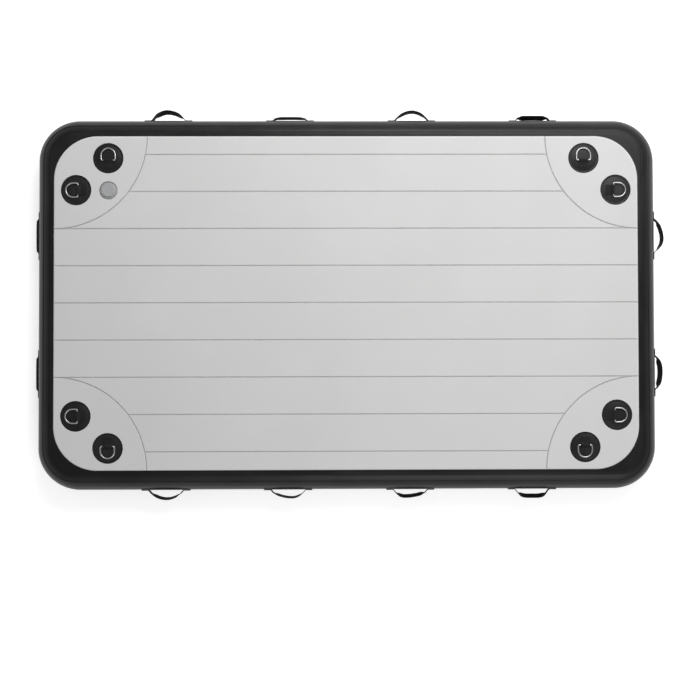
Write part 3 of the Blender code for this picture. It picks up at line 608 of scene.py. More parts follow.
def sweptBand(name, outer, inner, material, wave=None):
    # a closed band: outer and inner are sections as (outward, up); wave moves the outer one along the path
    centres, normals, along, corner = path
    section = np.concatenate([outer, inner[::-1]])
    count, rings = len(section), len(centres)
    sections = np.repeat(section[None, :, :], rings, axis=0)
    if wave is not None:
        sections += wave(section, along, corner)
    flat = centres[:, None, :] + normals[:, None, :] * sections[:, :, 0:1]
    points = np.concatenate([flat, sections[:, :, 1:2] + midHeight], axis=2).reshape(-1, 3)
    around = np.concatenate([[0], np.cumsum(np.linalg.norm(np.diff(section, axis=0), axis=1))])
    total = along[-1] + chamber["straightStep"]
    faces, coords = [], []
    for i in range(rings):
        j = (i + 1) % rings
        u0, u1 = along[i], along[j] if j else total
        for k in range(count):
            m = (k + 1) % count
            faces.append((i * count + k, j * count + k, j * count + m, i * count + m))
            v0, v1 = around[k], around[m] if m else around[k] + 1 * mm
            coords += [(u0, v0), (u1, v0), (u1, v1), (u0, v1)]
    mesh = meshFrom(name, points, faces)
    layer = mesh.uv_layers.new(name="UVMap")
    layer.data.foreach_set("uv", np.array(coords, np.float32).ravel())
    return newPiece(name, mesh, material)


def makeWall():
    edge, steps = chamber["wallEdge"], chamber["arcSteps"]
    outer = arcPoints((0, 0), wallRadius, -edge, edge, steps)
    inner = arcPoints((0, 0), wallRadius - chamber["wall"], -edge, edge, steps)
    settle(sweptBand("sideWallBand", outer, inner, wallPvc), "platform", "charcoal_pvc", "side_wall")


# angles are degrees round the side wall's section; the tape steps down from the wall to the skin at the edge
tapeForm = {"thickness": 0.9 * mm, "from": 33.75, "to": 78.75, "onWall": (0.6, 22), "onStep": (1.0, 3.2, 8),
            "onSkin": (3.8, 20), "rampFrom": 0.8, "rampOver": 2.6, "thinEdge": 0.55, "thinOver": 0.6,
            "pucker": 0.28 * mm, "puckerLength": 13 * mm, "fineLength": 5.3 * mm, "finePhase": 1.3,
            "puckerAt": 56, "puckerReach": 22, "straightShare": 0.12, "wander": 0.6 * mm,
            "wanders": ((0.5, 61 * mm, 0.0), (0.3, 23.3 * mm, 2.0), (0.2, 9.1 * mm, 0.0)),
            "upperEdge": (70, 8.75), "lowerEdge": (40, 6.25)}


def puckers(section, along, corner):
    # the tape gathers a little where it is bent round a corner, and its edges are never quite straight
    length = np.linalg.norm(section, axis=1)
    outside = (length > length.min() + tapeForm["thickness"] * 0.5).astype(float)
    angle = np.degrees(np.arctan2(np.abs(section[:, 1]), section[:, 0]))
    window = np.clip(1 - np.abs(angle - tapeForm["puckerAt"]) / tapeForm["puckerReach"], 0, 1) ** 0.5
    swing = np.sin(2 * math.pi * along / tapeForm["puckerLength"])
    swing += 0.5 * np.sin(2 * math.pi * along / tapeForm["fineLength"] + tapeForm["finePhase"])
    least = tapeForm["straightShare"]
    push = tapeForm["pucker"] * (least + (1 - least) * corner) * swing
    moved = push[:, None, None] * (outside * window)[None, :, None] * (section / length[:, None])[None, :, :]
    sideways = np.stack([-section[:, 1], section[:, 0]], axis=1) / length[:, None] * np.sign(section[:, 1:2])
    upperAt, upperOver = tapeForm["upperEdge"]
    lowerAt, lowerOver = tapeForm["lowerEdge"]
    edge = np.clip((angle - upperAt) / upperOver, 0, 1) - np.clip((lowerAt - angle) / lowerOver, 0, 1)
    wander = sum(share * np.sin(along / reach + phase) for share, reach, phase in tapeForm["wanders"])
    return moved + (wander * tapeForm["wander"])[:, None, None] * edge[None, :, None] * sideways[None, :, :]


def makeTape(name, node, side):
    onWall = wallRadius + chamber["gap"]
    onSkin = skinRadius + chamber["gap"]
    middle = chamber["wallEdge"]
    (wallEnd, wallSteps), (stepStart, stepEnd, steps), (skinStart, skinSteps) = (
        tapeForm["onWall"], tapeForm["onStep"], tapeForm["onSkin"])
    angles = np.concatenate([np.linspace(tapeForm["from"], middle + wallEnd, wallSteps),
                             np.linspace(middle + stepStart, middle + stepEnd, steps),
                             np.linspace(middle + skinStart, tapeForm["to"], skinSteps)])
    blend = np.clip((angles - middle - tapeForm["rampFrom"]) / tapeForm["rampOver"], 0, 1)
    radii = onWall + (onSkin - onWall) * ease(blend)
    directions = np.stack([np.cos(np.radians(angles)), np.sin(np.radians(angles))], axis=1)
    inner = radii[:, None] * directions
    taper = np.minimum(1, np.minimum(angles - angles[0], angles[-1] - angles) / tapeForm["thinOver"])
    least = tapeForm["thinEdge"]
    outer = (radii + tapeForm["thickness"] * (least + (1 - least) * np.sqrt(taper)))[:, None] * directions
    if side < 0:
        outer, inner = outer[::-1] * [1, -1], inner[::-1] * [1, -1]
    settle(sweptBand(name, outer, inner, tapePvc, puckers), "platform", "black_pvc", node)


def makeSkin(name, node, side, hole=None):
    # the flat panel and the rim that runs in under the side wall
    centres, normals, _, _ = path
    section = arcPoints((0, 0), skinRadius, chamber["skinFrom"], 90, chamber["rimSteps"])
    points = []
    for outward, up in section:
        points += [(x, y, midHeight + side * up) for x, y in centres + normals * outward]
    faces = ringFaces(len(section), len(centres)) + [tuple(range(len(points) - len(centres), len(points)))]
    if side < 0:
        faces = [face[::-1] for face in faces]
    piece = newPiece(name, meshFrom(name, points, faces), pvc)
    walled(piece, chamber["skin"], -1)
    cutters = [] if hole is None else [holeCutter("skinHole", chamber["valveHole"], chamber, hole)]
    cutFrom(piece, cutters)
    settle(finished(piece, cutters), "platform", "charcoal_pvc", node)


valveAt = middleOf("valve_gasket")
skinTop = midHeight + skinRadius
makeWall()
makeTape("seamTapeTop", "seam_tape_upper", 1)
makeTape("seamTapeBottom", "seam_tape_lower", -1)
makeSkin("topPanel", "top_skin", 1, Vector((valveAt.x, valveAt.y, skinTop)))
makeSkin("bottomPanel", "bottom_skin", -1)
print("stage: air chamber made")


# foam deck; a cut is (width at the top, width at its floor, depth)

deck = {"corner": 175 * mm, "cornerSteps": 40, "rimWidth": 6.0 * mm, "rimDrop": 3.4 * mm,
        "rimEdge": (0.4 * mm, 0.84), "rimShares": ((0.5, 0.42), (0.88, 0.10)), "strips": 9,
        "groove": (6.0 * mm, 3.6 * mm, 2.2 * mm), "joint": (0.5 * mm, 0.4 * mm, 8.0 * mm),
        "cornerGroove": 372 * mm, "cornerGrooveSteps": 48, "holeSteps": 96, "holeDepth": 30 * mm,
        "cutoutGap": 2.2 * mm, "overrun": 10 * mm, "soften": 0.35 * mm, "softenFrom": 30, "sharpFrom": 50,
        "flatFrom": 0.9999}
lowDeck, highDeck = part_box("deck_pad")
patchNames = sorted(name for name in frame["nodes"] if name.startswith("d_ring_patch_"))
discRadius = 59 * mm
flangeRadius = 34 * mm


def barMesh(shape, line, top, cut):
    # a cutter along a line of (x, y): wider at the top than at its floor
    line = np.array(line)
    step = np.gradient(line, axis=0)
    sideways = np.stack([-step[:, 1], step[:, 0]], axis=1) / np.linalg.norm(step, axis=1)[:, None]
    topWidth, floorWidth, depth = cut
    slope = (topWidth - floorWidth) / 2
    rows = []
    for half, height in ((floorWidth / 2, top - depth), (topWidth / 2 + slope, top + depth)):
        for sign in (-1, 1):
            rows.append([shape.verts.new((*(p + sign * half * s), height)) for p, s in zip(line, sideways)])
    order = [rows[0], rows[1], rows[3], rows[2]]
    for a, b in zip(order, order[1:] + order[:1]):
        for i in range(len(line) - 1):
            shape.faces.new((a[i], a[i + 1], b[i + 1], b[i]))
    shape.faces.new([row[0] for row in order])
    shape.faces.new([row[-1] for row in order][::-1])


def cutterFrom(name, lines, top, cut):
    shape = bmesh.new()
    for line in lines:
        barMesh(shape, line, top, cut)
    bmesh.ops.recalc_face_normals(shape, faces=shape.faces)
    return newObject(name, meshOf(name, shape))


def deckBlank(top):
    # the deck with its rounded rim, before it is cut
    wide, low = deck["rimWidth"], deck["rimDrop"]
    edgeInset, edgeDrop = deck["rimEdge"]
    rim = [(0, lowDeck.z), (0, top - low), (edgeInset, top - low * edgeDrop)]
    rim += [(wide * inset, top - low * drop) for inset, drop in deck["rimShares"]]
    loops = []
    for inset, height in rim + [(wide, top)]:
        ring = roundedOutline(highDeck.x, highDeck.y, deck["corner"], inset, deck["cornerSteps"])
        loops.append(np.column_stack([ring, np.full(len(ring), height)]))
    points, count = np.concatenate(loops), len(loops[0])
    faces = [tuple(range(count))[::-1], tuple(range(len(points) - count, len(points)))]
    return meshFrom("deckFoam", points, faces + ringFaces(len(loops), count))


def deckCutters(top):
    halfX, halfY = highDeck.x, highDeck.y
    radius = deck["cornerGroove"]
    pitch = 2 * halfY / deck["strips"]
    straight = []
    for index in range(deck["strips"]):
        across = (index - (deck["strips"] - 1) / 2) * pitch
        fromEdge = halfY - abs(across)
        reach = halfX + deck["overrun"]
        if fromEdge < radius:
            reach = halfX - math.sqrt(radius ** 2 - fromEdge ** 2)
        straight.append([(-reach, across), (reach, across)])
    past = math.degrees(deck["overrun"] / radius)
    curved = []
    for sx, sy, first in quarters:
        start = (first + 180) % 360
        curved.append(arcPoints((sx * halfX, sy * halfY), radius, start - past, start + 90 + past,
                                deck["cornerGrooveSteps"]))
    cutters = [cutterFrom("straightGrooves", straight, top, deck["groove"]),
               cutterFrom("cornerGrooves", curved, top, deck["groove"]),
               cutterFrom("padJoints", curved, top, deck["joint"])]
    holes = [(discRadius, middleOf(name)) for name in patchNames] + [(flangeRadius, valveAt)]
    for holeRadius, at in holes:
        cutters.append(holeCutter("cutout", holeRadius + deck["cutoutGap"], deck, Vector((at.x, at.y, top))))
    return cutters


def makeDeck():
    top = highDeck.z
    piece = newPiece("deckFoam", deckBlank(top), foamFinish("deckFoamFinish", foamLook, top))
    cutters = deckCutters(top)
    cutFrom(piece, cutters)
    softened(piece, deck["softenFrom"], deck["soften"], cutters)
    piece.data.shade_smooth()
    piece.data.set_sharp_from_angle(angle=math.radians(deck["sharpFrom"]))
    for face in piece.data.polygons:
        face.use_smooth = abs(face.normal.z) < deck["flatFrom"]
    pads = [name for name in frame["nodes"] if name.startswith("deck_corner_")]
    settle(piece, "platform", "pale_foam", "deck_pad", *pads)


makeDeck()
print("stage: deck made")


# D-rings on their round patches

ringSizes = {"wire": 3.0 * mm, "halfWidth": 28 * mm, "straight": 20 * mm, "bend": 6 * mm, "clearance": 0.4 * mm,
             "setback": 8 * mm, "bendSteps": 10, "roundSteps": 48, "wireSteps": 5,
             "patchThickness": 1.2 * mm, "bedded": 0.5 * mm, "pressedFrom": 20 * mm, "pressedAt": 53 * mm,
             "pressedWidth": 1.5 * mm, "pressedDepth": 0.35 * mm, "patchSteps": 96,
             "patchRim": ((-0.9, 0), (-0.35, -0.2), (0, -0.6)),
             "tabLayer": 1.5 * mm, "tabWidth": 38 * mm, "tabLength": 31 * mm, "wrapTo": 130, "wrapSteps": 40,
             "tabFoot": (0.98, 12), "tabTail": (0.1, 8), "tabShare": 0.96, "tabCorner": 0.4, "tabCornerSteps": 3,
             "settleRun": 9 * mm, "settleSteps": 12, "overlapFrom": 12 * mm,
             "seamInset": 3.5 * mm, "seamEnd": 3 * mm, "seamStart": 13 * mm, "seamProud": 0.05 * mm,
             "stitchPitch": 3.2 * mm, "stitchLength": 2.6 * mm, "threadRadius": 0.35 * mm}


def ringLine():
    # the D: its straight bar along X through the origin, and its round side towards +Y
    bend, half = ringSizes["bend"], ringSizes["halfWidth"]
    return np.concatenate([
        arcPoints((-half + bend, bend), bend, 180, 270, ringSizes["bendSteps"]),
        arcPoints((half - bend, bend), bend, 270, 360, ringSizes["bendSteps"]),
        arcPoints((0, ringSizes["straight"]), half, 0, 180, ringSizes["roundSteps"]),
    ])


def tabLine():
    # the webbing's middle line as (y, z) about the bar: in under the tail, round the bar and back over it
    layer, length = ringSizes["tabLayer"], ringSizes["tabLength"]
    radius = ringSizes["wire"] + ringSizes["clearance"] + layer / 2
    up = layer - radius
    footEnd, footSteps = ringSizes["tabFoot"]
    tailStart, tailSteps = ringSizes["tabTail"]
    wrap = arcPoints((0, 0), radius, -90, ringSizes["wrapTo"], ringSizes["wrapSteps"])
    endY, endZ = wrap[-1]
    line = [(-length * (1 - s), -radius) for s in np.linspace(0, footEnd, footSteps)] + [tuple(p) for p in wrap]
    for i in range(1, ringSizes["settleSteps"] + 1):
        share = i / ringSizes["settleSteps"]
        line.append((endY - ringSizes["settleRun"] * share, endZ + (up - endZ) * ease(share)))
    tail = np.linspace(tailStart, 1, tailSteps)
    return np.array(line + [(-length * s - (1 - s) * ringSizes["overlapFrom"], up) for s in tail])


def boxCross(x0, x1, y0, y1, z):
    # a sewn box with a cross in it
    corners = [(x0, y0, z), (x1, y0, z), (x1, y1, z), (x0, y1, z), (x0, y0, z)]
    return [corners, [(x0, y0, z), (x1, y1, z)], [(x0, y1, z), (x1, y0, z)]]


def placed(points, matrix):
    return [tuple(matrix @ Vector(p)) for p in points]


def patchProfile():
    # the round patch's section as (radius, height), with the pressed ring near its rim
    thick = ringSizes["patchThickness"]
    press, width = ringSizes["pressedAt"], ringSizes["pressedWidth"]
    sunk = thick - ringSizes["pressedDepth"]
    return [(0, thick), (ringSizes["pressedFrom"], thick), (press - width, thick), (press - 0.5 * width, sunk),
            (press + 0.5 * width, sunk), (press + width, thick),
            *profileAt(ringSizes["patchRim"], discRadius, thick), (discRadius, 0), (0, 0)]


def makeRings():
    wire, layer = ringSizes["wire"], ringSizes["tabLayer"]
    tabOuter = wire + ringSizes["clearance"] + layer
    line = ringLine()
    for name in patchNames:
        key = name[len("d_ring_patch_"):]
        middle = middleOf(name)
        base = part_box(name)[0].z
        outward = middleOf("d_ring_" + key) - middle
        if abs(outward.x) > abs(outward.y):
            turn = math.atan2(0, outward.x) - math.pi / 2
        else:
            turn = math.atan2(outward.y, 0) - math.pi / 2
        discTop = base + ringSizes["patchThickness"]
        axisHeight = discTop - ringSizes["bedded"] + tabOuter
        bar = Matrix.Translation((middle.x, middle.y, axisHeight)) @ Matrix.Rotation(turn, 4, "Z")
        bar = bar @ Matrix.Translation((0, -ringSizes["setback"], 0))

        drop = axisHeight - wire - chamber["gap"] - discTop  # the ring leans until its round side rests
        lean = Matrix.Rotation(-math.asin(drop / (ringSizes["straight"] + ringSizes["halfWidth"])), 4, "X")
        ring = sweptPiece("dRingWire_" + key, uprightBand, placed([(x, y, 0) for x, y in line], bar @ lean), steel,
                          (2 * wire, 2 * wire, wire * wireCorner, ringSizes["wireSteps"]), cyclic=True)
        settle(ring, "d_ring_" + key, "stainless", "d_ring_" + key)

        disc = lathe("ringPatch_" + key, patchProfile(), ringSizes["patchSteps"], (middle.x, middle.y, base),
                     patchPvc)
        settle(disc, "platform", "black_pvc", name)

        size = (layer * ringSizes["tabShare"], ringSizes["tabWidth"], layer * ringSizes["tabCorner"],
                ringSizes["tabCornerSteps"])
        tab = sweptPiece("ringTab_" + key, foldedBand, placed([(0, y, z) for y, z in tabLine()], bar), webbing,
                         size)
        settle(tab, "platform", "black_webbing")

        half = ringSizes["tabWidth"] / 2 - ringSizes["seamInset"]
        lines = boxCross(-half, half, ringSizes["seamEnd"] - ringSizes["tabLength"], -ringSizes["seamStart"],
                         2 * layer - tabOuter + ringSizes["seamProud"])
        seam = stitched("ringTabSeam_" + key, [placed(points, bar) for points in lines], ringSizes)
        settle(seam, "platform", "black_webbing")


makeRings()
print("stage: rings made")


# webbing handles

handleSizes = {"width": 25 * mm, "thickness": 2.5 * mm, "patchLength": 195 * mm, "patchCorner": 14 * mm,
               "cornerSteps": 12, "patchThickness": 1.2 * mm, "patchAngle": 22.5, "patchStrips": 18,
               "rimAngle": 60, "rimSoft": 0.4 * mm, "bedded": 0.5 * mm,
               "span": 144 * mm, "loopSpan": 120 * mm, "axisHeight": 12.4 * mm, "rise": 34 * mm,
               "sinkRun": 0.35, "footPoints": (0.3, 6, 12, 18, 23), "riseSteps": 16, "loopSteps": 64,
               "cornerShare": 0.38, "edgeSteps": 3, "freeHalf": 45 * mm, "blendGap": 0.2 * mm,
               "seam": (76 * mm, 94 * mm), "seamInset": 2.5 * mm,
               "stitchPitch": 3.0 * mm, "stitchLength": 2.4 * mm, "threadRadius": 0.38 * mm}
# hinge height, rise and crown as shares, the crown's power and the degrees sunk, as the solids have them
handleForms = {
    "back": ((1, 1.02, -0.18, 2, 28), (0.8, 0.09, -0.1, 4, 8), (1, 0.86, 0.06, 2, 13), (1, 0.07, 0, 4, 30)),
    "front": ((1, 0.74, 0, 2, 20), (1, 0.59, 0.25, 2, 15), (1, 0.55, -0.36, 2, 30), (1, 0.65, 0.1, 4, 38)),
    "left": ((0.68, 0.03, 0, 4, 0), (0.62, 0.02, 0, 4, 0)),
    "right": ((1, 0.81, -0.16, 2, 22), (1, 0.60, 0.1, 2, 40)),
}
handleTurns = {"back": 0, "front": 180, "left": 90, "right": 270}


def strapEnd(side, axis, foot, slope, run):
    # one fixed end of the strap, from the patch's end to the hinge line
    half = handleSizes["loopSpan"] / 2
    end = handleSizes["patchLength"] / 2
    points = [(side * (end - s * mm), foot, 0) for s in handleSizes["footPoints"]]
    for step in range(1, handleSizes["riseSteps"]):
        share = step / handleSizes["riseSteps"]
        rising = ease(share) * (axis - foot) + share ** 2 * (share - 1) * slope * run
        points.append((side * (half + run * (1 - share)), foot + rising, 0))
    return points


def strapLine(axis, foot, rise, crown, power, droop):
    # the strap's middle line from one end of its patch to the other, as (along, outward, up), and its tilts
    half = handleSizes["loopSpan"] / 2
    run = handleSizes["span"] / 2 - half
    peak = crown * half
    ends = [strapEnd(side, axis, foot, rise * power / (half - side * peak), run) for side in (-1, 1)]
    steps = handleSizes["loopSteps"]
    loop, angles = [], []
    for i in range(steps + 1):
        along = -half * math.cos(math.pi * i / steps)
        reach = half - peak if along > peak else half + peak
        height = rise * (1 - (abs(along - peak) / reach) ** power)
        angle = math.radians(droop) * ease(min((1 - abs(along) / half) / handleSizes["sinkRun"], 1))
        loop.append((along, axis + height * math.cos(angle), -height * math.sin(angle)))
        angles.append(angle)
    angles = [0] * len(ends[0]) + angles + [0] * len(ends[1])
    line = ends[0] + loop + ends[1][::-1]
    tilts = []
    for i, angle in enumerate(angles):
        tangent = (Vector(line[min(i + 1, len(line) - 1)]) - Vector(line[max(i - 1, 0)])).normalized()
        upright = Vector((0, 0, 1)) - tangent * tangent.z
        sunk = Vector((0, math.sin(angle), math.cos(angle)))
        sunk -= tangent * tangent.dot(sunk)
        tilts.append(math.atan2(upright.cross(sunk).dot(tangent), upright.dot(sunk)))
    return line, tilts


def curvedPatch(name, matrix):
    # a rounded patch that follows the side wall; X along the wall, Y outward, Z up
    inner = wallRadius + chamber["gap"]
    reach = inner * math.radians(handleSizes["patchAngle"])
    outline = roundedOutline(handleSizes["patchLength"] / 2, reach, handleSizes["patchCorner"], 0,
                             handleSizes["cornerSteps"])
    shape = bmesh.new()
    shape.faces.new([shape.verts.new((x, y, 0)) for x, y in outline])
    strips = handleSizes["patchStrips"]
    for i in range(1, strips):
        everything = shape.verts[:] + shape.edges[:] + shape.faces[:]
        bmesh.ops.bisect_plane(shape, geom=everything, plane_co=(0, reach * (2 * i / strips - 1), 0),
                               plane_no=(0, 1, 0))
    for vert in shape.verts:
        angle = vert.co.y / inner
        vert.co = matrix @ Vector((vert.co.x, inner * math.cos(angle) - wallRadius, inner * math.sin(angle)))
    bmesh.ops.reverse_faces(shape, faces=shape.faces)
    piece = newPiece(name, meshOf(name, shape), patchPvc)
    walled(piece, handleSizes["patchThickness"], 1)
    return softened(piece, handleSizes["rimAngle"], handleSizes["rimSoft"])


def handleSeams(matrix, top):
    # a box and cross in each of the two feet
    half = handleSizes["width"] / 2 - handleSizes["seamInset"]
    lines = []
    for end in (-1, 1):
        x0, x1 = sorted(end * place for place in handleSizes["seam"])
        for points in boxCross(x0, x1, -half, half, top):
            lines.append(placed([(x, z, y) for x, y, z in points], matrix))
    return lines


def makeHandle(key, matrix, form, way):
    # way is -1 where the side's own X runs against the form's
    axisShare, riseShare, crown, power, droop = form
    face = chamber["gap"] + handleSizes["patchThickness"]
    thick = handleSizes["thickness"]
    foot = face - handleSizes["bedded"] + thick / 2
    axis = face + axisShare * handleSizes["axisHeight"]
    line, tilts = strapLine(axis, foot, riseShare * handleSizes["rise"], way * crown, power, droop)
    size = (handleSizes["width"], thick, thick * handleSizes["cornerShare"], handleSizes["edgeSteps"])
    strap = sweptPiece("handleStrap_" + key, uprightBand, placed(line, matrix), webbing, size, tilts)
    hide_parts("handle_" + key)
    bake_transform(strap)
    settle(curvedPatch("handlePatch_" + key, matrix), "platform", "black_webbing", "handle_patch_" + key)
    seam = stitched("handleSeam_" + key, handleSeams(matrix, foot + thick / 2), handleSizes)
    settle(seam, "platform", "black_webbing")


def makeHandles():
    for side, forms in handleForms.items():
        spin = Matrix.Rotation(math.radians(handleTurns[side]), 4, "Z")
        outward = spin @ Vector((0, 1, 0))
        way = -1 if side in ("front", "right") else 1
        for number, form in enumerate(forms, 1):
            key = f"{side}_{number}"
            middle = middleOf("handle_patch_" + key)
            if side in ("back", "front"):
                base = Vector((middle.x, outward.y * halfWidth, midHeight))
            else:
                base = Vector((outward.x * halfLength, middle.y, midHeight))
            makeHandle(key, Matrix.Translation(base) @ spin, form, way)


makeHandles()
print("stage: handles made")


# inflation valve: the flange with its bore, and the cap

valveSizes = {"flangeTop": 5.2 * mm, "flangeBase": 1.6 * mm, "bore": 14.5 * mm, "barrel": 20 * mm,
              "barrelDepth": 38 * mm, "webTop": 29 * mm, "webBase": 32 * mm, "stemHole": 3.5 * mm,
              "seat": 12 * mm, "seatTop": 36 * mm, "capRadius": 27 * mm, "capHeight": 6 * mm,
              "capDish": 0.9 * mm, "skirtGap": 0.4 * mm, "skirtWall": 2.2 * mm, "skirtDepth": 9 * mm,
              "gripCount": 8, "gripRadius": 4.5 * mm, "gripBite": 1.8 * mm, "gripReach": 3 * mm, "steps": 144}
# offsets in millimetres, outward and up, from the axis, the bore or the rim and from the face
flangeForm = {"boreRim": ((0, -0.5), (0.5, 0)), "groove": ((28.6, 0), (29.0, -0.3), (29.6, -0.3), (30.0, 0)),
              "rim": ((-1.4, 0), (-0.5, -0.3), (0, -1.0))}
capForm = {"dish": ((0, 0), (15.0, 0), (15.6, 0), (16.0, 0.15)), "dishRim": ((16.6, -0.15), (17.0, 0), (17.4, 0)),
           "rim": ((-2.4, 0), (-1.9, 0), (-0.9, -0.3), (-0.25, -0.9), (0, -1.7)),
           "lowRim": ((0, 1.1), (0, 0.5), (-0.5, 0))}
valvePlace = (valveAt.x, valveAt.y, skinTop)


def makeFlange():
    top, bore, barrel = valveSizes["flangeTop"], valveSizes["bore"], valveSizes["barrel"]
    webTop, webBase, depth = -valveSizes["webTop"], -valveSizes["webBase"], -valveSizes["barrelDepth"]
    hole, seat, seatTop = valveSizes["stemHole"], valveSizes["seat"], -valveSizes["seatTop"]
    base = valveSizes["flangeBase"]
    body = [(bore, webTop), *profileAt(flangeForm["boreRim"], bore, top), *profileAt(flangeForm["groove"], 0, top),
            *profileAt(flangeForm["rim"], flangeRadius, top), (flangeRadius, base), (barrel, base),
            (barrel, depth), (seat, depth), (seat, seatTop), (bore, seatTop), (bore, webBase), (hole, webBase),
            (hole, webTop), (bore, webTop)]
    flange = lathe("valveFlange", body, valveSizes["steps"], valvePlace, plastic)
    settle(flange, "platform", "grey_plastic", "valve_body")


def makeCap():
    base = valveSizes["flangeTop"] + chamber["gap"]
    top = base + valveSizes["capHeight"]
    radius = valveSizes["capRadius"]
    skirt = valveSizes["bore"] - valveSizes["skirtGap"]
    inside, low = skirt - valveSizes["skirtWall"], base - valveSizes["skirtDepth"]
    profile = [*profileAt(capForm["dish"], 0, top - valveSizes["capDish"]), *profileAt(capForm["dishRim"], 0, top),
               *profileAt(capForm["rim"], radius, top), *profileAt(capForm["lowRim"], radius, base),
               (skirt, base), (skirt, low), (inside, low), (inside, base), (0, base)]
    grip = valveSizes["gripRadius"]
    distance = radius + grip - valveSizes["gripBite"]
    spread = 2 * math.pi / valveSizes["gripCount"]

    def scalloped(points, angle):
        off = (angle + spread / 2) % spread - spread / 2
        reach = distance * math.sin(off)
        if abs(reach) >= grip:
            return points[:, 0]
        limit = distance * math.cos(off) - math.sqrt(grip ** 2 - reach ** 2)
        inset = radius - points[:, 0]
        return np.where(inset < valveSizes["gripReach"], np.minimum(points[:, 0], limit - inset), points[:, 0])

    cap = lathe("valveCap", profile, 2 * valveSizes["steps"], valvePlace, plastic, scalloped)
    settle(cap, "valve_cap", "grey_plastic", "valve_cap")


springSizes = {"radius": 5.6 * mm, "wire": 0.6 * mm, "turns": 5.5, "closed": 0.8, "pitchClosed": 2.1, "steps": 26,
               "wireSteps": 3, "travel": 6 * mm}


def makeSpring():
    # a round wire coil with its ends closed
    low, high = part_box("valve_spring")
    radius, wire = springSizes["radius"], springSizes["wire"]
    turns, closed = springSizes["turns"], springSizes["closed"]
    base, top = low.z + wire, high.z - wire
    rise = springSizes["pitchClosed"] * wire * closed
    count = round(turns * springSizes["steps"])
    line = []
    for i in range(count + 1):
        turn = turns * i / count
        height = np.interp(turn, [0, closed, turns - closed, turns], [base, base + rise, top - rise, top])
        angle = 2 * math.pi * turn
        line.append((valveAt.x + radius * math.cos(angle), valveAt.y + radius * math.sin(angle), height))
    spring = sweptPiece("valveSpring", uprightBand, line, steel,
                        (2 * wire, 2 * wire, wire * wireCorner, springSizes["wireSteps"]))
    settle(spring, "platform", "stainless", "valve_spring")
    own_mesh(spring)


makeFlange()
makeCap()
makeSpring()
print("stage: valve made")


# the CAD nodes that stay get their own finishes

nodeFinishes = {"drop_stitch_yarns": yarn, "valve_gasket": rubber, "valve_nut": plastic, "valve_stem": plastic,
                "valve_seal": rubber, "valve_cap_seal": rubber}
for name, finish in nodeFinishes.items():
    for holder in frame["nodes"][name].material_slots:
        holder.material = finish


# floor, lights, world and camera

room = {"floorSize": 60.0, "floorDrop": 0.5 * mm, "floorColour": (0.80, 0.80, 0.80, 1.0), "floorRoughness": 0.9,
        "floorSpecular": 0.1, "floorGlow": 0.55, "farGlow": 1.0, "glowFrom": 1.6, "glowTo": 3.2,
        "whiteUpTo": 0.36, "horizon": 1.0, "zenith": 0.24, "skyPower": 0.45}
lamps = {"key": {"power": 106.0, "place": (0.9, 2.3, 2.7), "size": (3.2, 1.6)},
         "fill": {"power": 46.0, "place": (0.9, -3.0, 2.8), "size": (3.0, 2.0)}}
view = {"place": (0.184, -0.464, 4.0), "turn": (1.06, -0.49, -0.17), "focal": 963.5, "shift": (-51.2, 50.6),
        "frame": 700.0, "sensor": 36.0, "farthest": 100.0}


def seenRays(tree):
    # 1 for the rays that show the room: to the camera, in gloss and through clear things
    ray = put(tree, "ShaderNodeLightPath").outputs
    direct = maths(tree, "MAXIMUM", ray["Is Camera Ray"], ray["Is Glossy Ray"])
    return maths(tree, "MAXIMUM", direct, ray["Is Transmission Ray"])


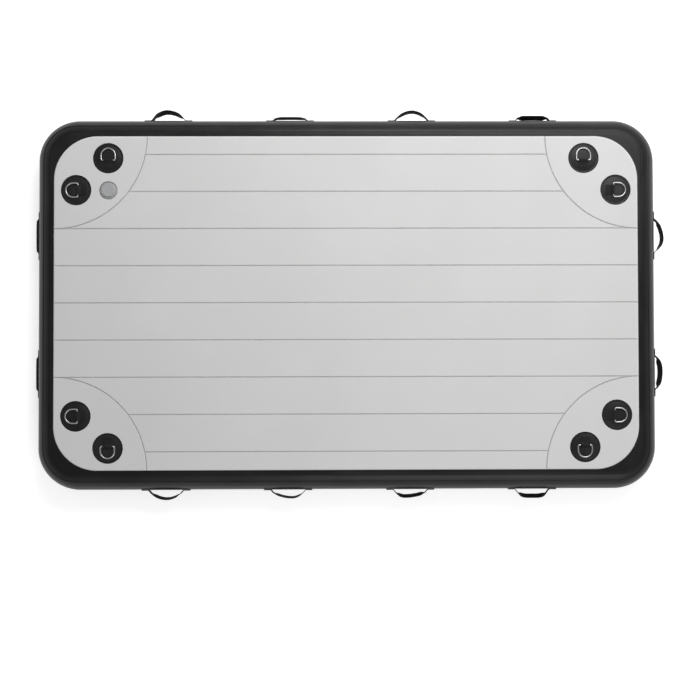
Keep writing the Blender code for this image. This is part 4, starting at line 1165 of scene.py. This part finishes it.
def makeFloor():
    shape = bmesh.new()
    bmesh.ops.create_grid(shape, x_segments=1, y_segments=1, size=room["floorSize"] / 2,
                          matrix=Matrix.Translation((0, 0, -room["floorDrop"])))
    mesh = meshOf("floor", shape)
    paper = bpy.data.materials.new("paleFloor")
    paper.use_nodes = True
    tree = paper.node_tree
    # the paper is lit near the object, and white all by itself farther off
    away = put(tree, "ShaderNodeVectorMath", {"Vector": objectPosition(tree)}, operation="LENGTH").outputs["Value"]
    glow = put(tree, "ShaderNodeMapRange", {
        "Value": away, "From Min": room["glowFrom"], "From Max": room["glowTo"], "To Min": room["floorGlow"],
        "To Max": room["farGlow"]}).outputs["Result"]
    connect(tree, tree.nodes["Principled BSDF"], {
        "Base Color": room["floorColour"], "Roughness": room["floorRoughness"],
        "Specular IOR Level": room["floorSpecular"], "Emission Color": (1, 1, 1, 1),
        "Emission Strength": maths(tree, "MULTIPLY", seenRays(tree), glow)})
    floor = newObject("floor", mesh)
    mesh.materials.append(paper)


def makeWorld():
    # a studio's pale walls all round and its dark ceiling
    world = bpy.data.worlds.new("studio")
    bpy.context.scene.world = world
    world.use_nodes = True
    tree = world.node_tree
    way = put(tree, "ShaderNodeTexCoord").outputs["Generated"]
    height = put(tree, "ShaderNodeSeparateXYZ", {"Vector": way}).outputs["Z"]
    start = maths(tree, "MULTIPLY", seenRays(tree), room["whiteUpTo"])  # the walls' white reaches this high
    above = put(tree, "ShaderNodeMapRange", {"Value": height, "From Min": start}).outputs["Result"]
    climb = maths(tree, "POWER", above, room["skyPower"])
    strength = put(tree, "ShaderNodeMapRange",
                   {"Value": climb, "To Min": room["horizon"], "To Max": room["zenith"]}).outputs["Result"]
    connect(tree, tree.nodes["Background"], {"Color": (1, 1, 1, 1), "Strength": strength})


def makeLamps():
    for name, sizes in lamps.items():
        lamp = bpy.data.lights.new(name, "AREA")
        lamp.shape = "RECTANGLE"
        lamp.size, lamp.size_y = sizes["size"]
        lamp.energy = sizes["power"]
        held = newObject(name, lamp)
        held.location = sizes["place"]
        held.rotation_mode = "QUATERNION"
        held.rotation_quaternion = (-held.location).to_track_quat("-Z", "Y")
        held.visible_camera = False


def makeCamera():
    lens = bpy.data.cameras.new("camera")
    lens.sensor_width = view["sensor"]
    lens.lens = view["focal"] / view["frame"] * view["sensor"]
    lens.shift_x = view["shift"][0] / view["frame"]
    lens.shift_y = view["shift"][1] / view["frame"]
    lens.clip_end = view["farthest"]
    held = newObject("camera", lens)
    held.location = view["place"]
    held.rotation_euler = [math.radians(angle) for angle in view["turn"]]
    bpy.context.scene.camera = held


makeFloor()
makeWorld()
makeLamps()
makeCamera()
bpy.context.scene.view_settings.view_transform = "Standard"
print("stage: room and camera made")

bpy.context.view_layer.update()
